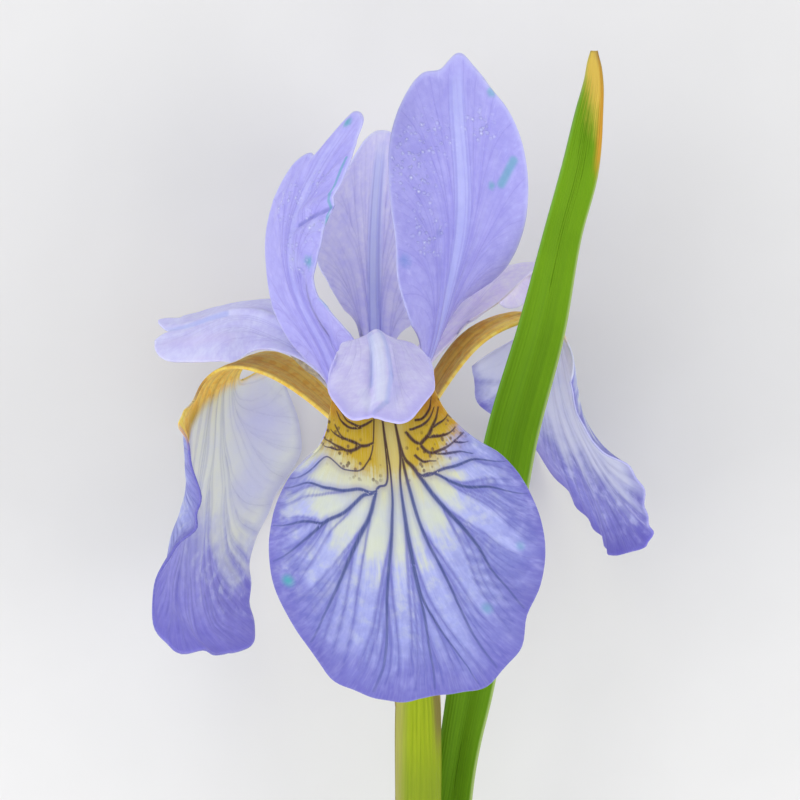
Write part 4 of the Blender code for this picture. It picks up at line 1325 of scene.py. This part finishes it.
FALL_LOOKS = {
    "front": (dict(reach=24.0, narrow=10.0, gold_to=10.0, lean=-0.2, lobes=1.0, marks=FRONT_MARKS), None),
    "left": (
        SIDE_FACE,
        dict(
            reach=23.0, narrow=-2.0, gold_to=1.0, claw_to=30.5, claw_lean=0.3, lean=-0.75, bold=0.2,
            arch_to=34.0, blur=2.4, blotchy=0.35, deep_from=0.90, tones=OUTSIDE,
            signal=LEFT_SIGNAL, marks=LEFT_MARKS,
        ),
    ),
    "right": (
        SIDE_FACE,
        dict(
            reach=26.5, narrow=-2.0, gold_to=1.0, claw_to=29.0, lean=-0.4, bold=0.14,
            arch_to=34.0, blur=2.0, blotchy=0.5, deep_from=0.90, tones=RIGHT_TONES,
            signal=RIGHT_SIGNAL, marks=RIGHT_MARKS,
        ),
    ),
}
# Each fall's crinkles, how its skin rises between its veins, and its rim.
FALL_GROWTH = {
    "front": dict(relief=fall_relief(80), trunk=0.5),
    "left": dict(relief=fall_relief(81), pucker=(0.05, 0.06)),
    "right": dict(relief=fall_relief(82, bent_in=0.7), pucker=(0.05, 0.06), rim=1),
}
for k, side in enumerate(("front", "left", "right")):
    petal = petals["fall_" + side]
    if side == "front":
        veins = front_veins(petal, seed=60, wide=0.13, apart=1.35)
    else:
        veins = grown_veins(petal, 40 + k, CLAW_VEINS, forks=2, widths=(0.16, 0.13), apart=1.35)
    face_looks, back_looks = FALL_LOOKS[side]
    face = fall_finish("fall_face_" + side, **face_looks)
    back = fall_finish("fall_outside_" + side, **back_looks) if back_looks else fall_back
    faces = (face, back)
    piece = grow_petal("fall_petal_" + side, petal, FALL_GRID, FALL_THICK, veins, faces, **FALL_GROWTH[side])
    belongs(piece, "fall_" + side)


def folds(*lines):
    """Soft folds along straight lines of the flat petal: start, stop, half width and height."""

    def relief(s, t, x, y):
        lift = 0 * x
        for start, stop, wide, tall in lines:
            far, way_x, way_y = way_between(start, stop)
            along = (x - start[0]) * way_x + (y - start[1]) * way_y
            off = (y - start[1]) * way_x - (x - start[0]) * way_y
            ends = soft(along, -0.3 * far, 0.2 * far) * soft(-along, -1.3 * far, -0.8 * far)
            lift += tall * hump(off, wide) * ends
        return lift

    return relief


STANDARD_FOLDS = {
    "left": folds(
        ((8.0, 37.4), (0.5, 32.6), 0.55, 0.5),
        ((8.0, 39.3), (1.5, 35.2), 0.7, -0.5),
        ((6.0, 31.5), (1.8, 26.0), 0.6, 0.35),
        ((4.2, 45.5), (0.6, 36.5), 0.6, 0.35),
        ((-1.5, 44.0), (-5.0, 33.0), 1.0, -0.3),
        ((5.5, 22.5), (2.0, 17.5), 0.7, 0.3),
    ),
    "right": folds(
        ((-1.7, 52.5), (-1.2, 24.0), 0.45, -0.10),
        ((1.3, 52.0), (0.8, 24.0), 0.4, -0.07),
        ((-3.0, 50.0), (-7.5, 36.0), 1.2, -0.2),
        ((4.0, 46.0), (7.5, 38.5), 0.9, 0.25),
        ((-5.5, 44.0), (-9.0, 34.0), 0.8, 0.22),
    ),
    "back": folds(((3.5, 41.0), (5.5, 30.0), 1.0, -0.25), ((-3.5, 40.0), (-4.5, 28.0), 1.2, 0.2)),
}

# Dew as place and reach, marks as for the falls, and folds as start, stop, half width,
# share and tone. The tone key lightens a whole face: painted light for one that lies in shade.
STANDARD_LOOKS = {
    "left": dict(
        band=0.15, painted_sheen=0.45, tone=1.1,
        dew=(((1.3, 29.0), 5.0), ((4.5, 34.0), 4.0), ((2.0, 40.0), 3.5), ((-3.0, 36.0), 5.0)),
        marks=(
            ((0.2, 48.6), 1.2, 0.8, TEAL),
            ((3.9, 28.4), 1.5, 0.7, TEAL),
            ((6.1, 22.8), 1.6, 0.55, TEAL),
            ((4.5, 33.6), 1.6, 0.4, PALE_LILAC),
            ((1.3, 28.4), 2.0, 0.35, PALE_LILAC),
        ),
        lines=(
            # The violet line is painted shade in a fold's crease.
            ((7.0, 36.8), (1.1, 33.1), 0.5, 0.5, HALO_VIOLET),
            ((5.0, 44.0), (7.2, 33.0), 0.35, 0.6, TEAL),
        ),
    ),
    "right": dict(
        band=0.45,
        dew=(
            ((-4.4, 45.0), 5.5), ((-4.6, 31.0), 5.0), ((-6.7, 38.0), 5.5), ((-8.0, 42.0), 4.0),
            ((3.0, 47.0), 4.0),
        ),
        marks=(
            ((5.1, 51.7), 1.0, 0.6, TEAL),
            ((4.0, 39.0), 0.9, 0.6, TEAL),
            ((-8.3, 27.2), 1.5, 0.55, (0.12, 0.22, 0.55)),
            ((-3.1, 31.5), 0.9, 0.5, (0.16, 0.18, 0.45)),
        ),
        lines=(((7.2, 42.7), (5.4, 39.3), 0.9, 0.6, TEAL),),
    ),
    # The back standard lies in shade: its high tone is painted light.
    "back": dict(band=0.7, veins=0.5, tone=1.75),
}
for k, side in enumerate(("left", "right", "back")):
    petal = petals["standard_" + side]
    veins = grown_veins(petal, 140 + k, STANDARD_VEINS, forks=2, widths=(0.13, 0.08), apart=1.4)
    face = standard_finish("standard_face_" + side, **STANDARD_LOOKS[side])
    # The left and right standards show their outer faces to the front.
    turned = side != "back"
    faces = (standard_back, face) if turned else (face, standard_back)
    piece = grow_petal(
        "standard_petal_" + side, petal, STANDARD_GRID, STANDARD_THICK, veins, faces,
        relief=STANDARD_FOLDS[side], rim=int(turned),
    )
    belongs(piece, "standard_" + side)

# Painted shade along the folds of the front arm's crest, and a painted highlight down its raised left half:
# start, stop, half width, share and tone.
CREST_SHADE_AND_HIGHLIGHT = (
    ((-0.9, 22.0), (-1.9, 34.8), 0.6, 0.6, FOLD_SHADE),
    ((0.3, 22.0), (0.7, 33.2), 0.5, 0.6, FOLD_SHADE),
    ((0.7, 33.2), (0.1, 39.2), 0.45, 0.6, FOLD_SHADE),
    ((0.1, 39.2), (-1.6, 41.4), 0.45, 0.6, FOLD_SHADE),
    ((1.4, 35.5), (0.6, 40.0), 0.9, 0.4, (0.42, 0.42, 0.82)),
    # The blue-white lines are a painted highlight on the raised left half.
    ((-0.5, 24.0), (-0.7, 38.5), 1.2, 0.5, (0.66, 0.74, 0.98)),
    ((-3.0, 36.0), (-2.0, 40.0), 1.2, 0.25, (0.66, 0.74, 0.98)),
)


def crest_relief(s, t, x, y):
    """The left half of the crest lies over the right one, with a soft fold beside it."""
    off = x - curve(((24, 0.3), (33.2, 0.7), (39.2, 0.1), (41.6, -1.6)), y)
    over = 0.42 * (1 - soft(off, -0.3, 0.15)) * hump(off, 2.6)
    fold = 0.28 * hump(x - curve(((22, -0.9), (35, -1.9), (41, -2.2)), y), 0.5)
    dent = 0.35 * hump(x - 4.2, 1.6) - 0.3 * hump(x + 4.6, 1.5)
    return soft(y, 25.0, 31.0) * (over - fold + dent * soft(y, 28.0, 34.0))


def left_arm_relief(s, t, x, y):
    """A crease runs from the notch back along the arm."""
    crease = curve(((20, 0.6), (32, 0.3), (41, -0.4)), y)
    return -0.45 * hump(x - crease, 0.7) * soft(y, 20.0, 30.0)


ARM_RELIEFS = {"front": crest_relief, "left": left_arm_relief, "right": None}
ARM_LOOKS = {
    "front": dict(
        low=(0.52, 0.48, 0.92), high=(0.64, 0.63, 1.0), lines=CREST_SHADE_AND_HIGHLIGHT,
        rim=(0.40, 0.37, 0.84), rim_share=0.6,
    ),
    "left": dict(
        low=(0.47, 0.45, 0.84), high=(0.60, 0.61, 0.94),
        lines=(
            # Painted shade in the crease.
            ((-0.4, 39.5), (0.3, 28.0), 0.7, 0.6, FOLD_SHADE),
            ((2.5, 38.0), (5.0, 26.0), 1.6, 0.35, (0.52, 0.46, 0.80)),
            ((5.5, 37.0), (7.0, 30.0), 1.2, 0.3, (0.58, 0.62, 0.94)),
        ),
    ),
    "right": dict(),
}
# Half widths of a stamen by the distance along it: a thin filament, then the anther.
STAMEN_WIDE = (
    (0, 0.36), (2, 0.34), (8, 0.31), (10.5, 0.3), (11.5, 0.52), (12.5, 0.76), (14, 0.84), (16, 0.82),
    (18, 0.74), (19.5, 0.56), (20.3, 0.26),
)
STAMEN_DEEP = (
    (0, 0.36), (2, 0.34), (8, 0.31), (10.5, 0.3), (11.5, 0.4), (12.5, 0.47), (14, 0.49), (16, 0.47),
    (18, 0.43), (19.5, 0.35), (20.3, 0.22),
)
stamen_at = np.linspace(0, 20.3, 90)


def two_sacs(s, angle):
    """Two pollen sacs with a cleft down the middle, rough with grains."""
    anther = soft(s, 0.52, 0.6)
    cleft = np.abs(np.cos(angle)) ** 6
    return 1 - anther * (0.30 * cleft + 0.03 * np.sin(angle * 9 + s * 150))


for k, side in enumerate(("front", "left", "right")):
    petal = petals["style_" + side]
    veins = grown_veins(petal, 240 + k, ARM_VEINS, forks=1, widths=(0.08, 0.06), apart=1.2)
    face = arm_finish("style_arm_face_" + side, **ARM_LOOKS[side])
    under = arm_finish("style_arm_under_" + side, **ARM_LOOKS[side])
    piece = grow_petal(
        "style_arm_crest_" + side, petal, ARM_GRID, ARM_THICK, veins, (face, under),
        pucker=(0.04, 0.05), relief=ARM_RELIEFS[side],
    )
    belongs(piece, "style_arm_" + side)
    middles = stamen_line(petals["fall_" + side], petal, stamen_at)
    piece = grow_stalk(
        "stamen_grown_" + side, middles, stamen_at, curve(STAMEN_WIDE, stamen_at), sides=32,
        shape=two_sacs, finish=stamen_finish("stamen_dust_" + side), deep=curve(STAMEN_DEEP, stamen_at),
    )
    belongs(piece, "stamen_" + side)

# The tube from its foot over the ovary to its mouth, with the style column inside: radius
# and height.
TUBE_PROFILE = (
    (2.4, -13.9), (2.15, -13.0), (2.1, -12.0), (2.3, -10.2), (3.4, -8.4), (4.5, -7.5), (4.4, -7.05),
    (1.6, -7.0), (1.35, -6.0), (1.5, -4.6), (2.0, -3.45),
)
tube_at = np.linspace(0, len(TUBE_PROFILE) - 1, 81)
tube_out, tube_up = (
    np.interp(tube_at, range(len(TUBE_PROFILE)), column) for column in zip(*TUBE_PROFILE)
)


def tube_shape(s, angle):
    """Six soft lobes low down, and fine ribs."""
    return 1 - 0.03 * (1 + np.cos(6 * angle)) * soft(s, 0.75, 0.6) - 0.008 * np.cos(36 * angle)


tube_middles = rows_of(0 * tube_up, tube_up + 1e-4 * tube_at, 0 * tube_up)
tube_skin = stalk_finish("tube_skin", (0.34, 0.36, 0.24), (0.22, 0.26, 0.16), (0.44, 0.42, 0.42))
piece = grow_stalk("tube_grown", tube_middles, tube_up, tube_out, 72, tube_shape, tube_skin)
belongs(piece, "perianth_tube")

# The ovary: its half width, and how deep its three grooves are, by height.
OVARY_WIDE = (
    (-28.8, 1.5), (-27.5, 2.0), (-25, 2.55), (-22, 2.75), (-19, 2.7), (-16.5, 2.45), (-15.0, 2.1),
    (-14.4, 1.7),
)
OVARY_DIPS = ((-28.8, 0.02), (-27.5, 0.08), (-25, 0.16), (-22, 0.2), (-19, 0.2), (-16.5, 0.15), (-14.4, 0.02))
ovary_at = np.linspace(-28.8, -14.4, 90)


def ovary_shape(s, angle):
    """Three grooves, six faint ones and fine wrinkles."""
    grooves = curve(OVARY_DIPS, -28.8 + 14.4 * s) * (0.5 - 0.5 * np.cos(3 * angle))
    faint = 0.012 * (1 + np.cos(6 * angle + 3.14)) * soft(s, 0.05, 0.3)
    return 1 - grooves - faint + 0.006 * np.sin(30 * angle) * np.sin(s * 40)


ovary_skin = stalk_finish("ovary_skin", (0.26, 0.40, 0.06), (0.15, 0.26, 0.03), (0.36, 0.46, 0.12))
ovary_wide = curve(OVARY_WIDE, ovary_at)
piece = grow_stalk("ovary_grown", stem_centre(ovary_at), ovary_at, ovary_wide, 96, ovary_shape, ovary_skin)
belongs(piece, "ovary")

# The stem's half width by height; its rings lie closest where the spathes leave it.
STEM_WIDE = (
    (-116, 1.5), (-115.9, 1.95), (-115.2, 2.06), (-108, 2.08), (-100, 2.1), (-92, 2.1), (-84, 2.1),
    (-78, 2.15), (-75.5, 2.13), (-73, 1.4), (-66, 1.35), (-58, 1.33), (-50, 1.3), (-42, 1.3), (-34, 1.3),
    (-29.2, 1.4),
)
STEM_RINGS = ((-115.6, -79, 70), (-78.5, -72, 40), (-71.5, -29.2, 90))
stem_at = np.concatenate([[-116.0, -115.95], *(np.linspace(*rings) for rings in STEM_RINGS)])


def stem_shape(s, angle):
    """Low ribs that wander a little on their way up."""
    return 1 - 0.012 * (1 + np.cos(16 * angle + 2 * np.sin(s * 9)))


stem_skin = stalk_finish("stem_skin", (0.33, 0.44, 0.012), (0.22, 0.32, 0.006), (0.40, 0.46, 0.03))
piece = grow_stalk(
    "stem_grown", stem_centre(stem_at), stem_at, curve(STEM_WIDE, stem_at), 64, stem_shape, stem_skin, cut=1
)
belongs(piece, "stem")

# The bracts: from where to where they reach, which way they face, and by the share along
# how many degrees they wrap to each side and how far out they stand.
SPATHES = {
    "outer": dict(
        foot=-74.6, tip=-31.0, way=25, spans=((0, 100), (0.55, 96), (0.8, 62), (1, 3)),
        radii=((0, 3.1), (0.3, 3.1), (0.7, 3.4), (1, 4.1)),
    ),
    "inner": dict(
        foot=-72.0, tip=-36.0, way=205, spans=((0, 100), (0.5, 92), (0.8, 58), (1, 3)),
        radii=((0, 2.05), (0.3, 2.1), (0.7, 2.5), (1, 3.4)),
    ),
}


def grow_blade(name, surface, grid, thick, finishes, ribs, depth, length, **wrap):
    """A green blade or bract: a sheet with low parallel ribs. depth and length are in mm."""
    piece, s, t = fresh_grid(name, *grid)
    relief = depth * np.cos(2 * np.pi * ribs * t + 0.8 * np.sin(s * 7))
    lay(piece, surface(s, t, relief, **wrap))
    note(piece, "flat", rows_of(t * BLADE_HALF, s * length, s))
    give_thickness(piece, thick, 1 - 0.9 * np.abs(t) ** 6, finishes)
    return piece


for side, grid, papery in (("outer", (120, 72), 0.9), ("inner", (110, 72), 0.85)):
    name = "spathe_" + side + "_bract"
    bract = spathe_finish(name + "_face", papery)
    piece = grow_blade(
        name, spathe_surface, grid, SPATHE_THICK, (bract, bract), ribs=9.0, depth=0.035, length=42.0,
        **SPATHES[side],
    )
    belongs(piece, "spathe_" + side)

faces = (leaf_finish("leaf_under", True), leaf_finish("leaf_face"))
piece = grow_blade(
    "sword_leaf", leaf_surface, (420, 60), LEAF_THICK, faces, ribs=8.0, depth=0.018, length=155.7
)
belongs(piece, "leaf")

# The ground that the flower lies on.
floor_shade = Finish("pale_ground", 0.85)
floor_place = floor_shade.node("ShaderNodeTexCoord", out="Object")
floor_grain = floor_shade.noise(floor_place, 60.0, rough=0.5)
floor_shade.colour = floor_shade.mix(floor_grain, (0.72, 0.71, 0.69), (0.76, 0.75, 0.73))
bpy.ops.object.select_all(action="DESELECT")
bpy.ops.mesh.primitive_plane_add(size=3.0, location=(0, 0, 0))
floor = bpy.context.object
floor.name = "ground"
floor.data.materials.append(floor_shade.done())

# Soft lights round the flower: power in watts, size in metres and place.
LIGHTS = (
    ("key_light", 1.2, 0.7, (-0.35, 0.25, 0.85)),
    ("left_light", 1.7, 0.5, (-0.55, -0.1, 0.42)),
    ("right_light", 1.7, 0.5, (0.55, -0.1, 0.42)),
    ("low_light", 1.1, 0.5, (0.0, -0.6, 0.36)),
)
MIDDLE = (0, 0.02, 0.03)
for name, power, size, at in LIGHTS:
    bpy.ops.object.light_add(type="AREA", location=at)
    light = bpy.context.object
    light.name = name
    light.data.energy = power
    light.data.size = size
    light.rotation_euler = (Vector(MIDDLE) - Vector(at)).to_track_quat("-Z", "Y").to_euler()
world = bpy.context.scene.world or bpy.data.worlds.new("studio")
bpy.context.scene.world = world
world.use_nodes = True
sky = world.node_tree.nodes["Background"]
sky.inputs["Color"].default_value = (0.93, 0.95, 1.0, 1.0)
sky.inputs["Strength"].default_value = 0.74
bpy.context.scene.view_settings.view_transform = "Standard"

# The camera looks straight down on the lying flower.
CAMERA_AT = (-0.0005, 0.03277, 0.58552)
bpy.ops.object.camera_add(location=CAMERA_AT, rotation=(0, 0, 0))
camera = bpy.context.object
camera.name = "photo_camera"
camera.data.lens = 176.8
camera.data.sensor_width = 36.0
camera.data.clip_start = 0.05
bpy.context.scene.camera = camera
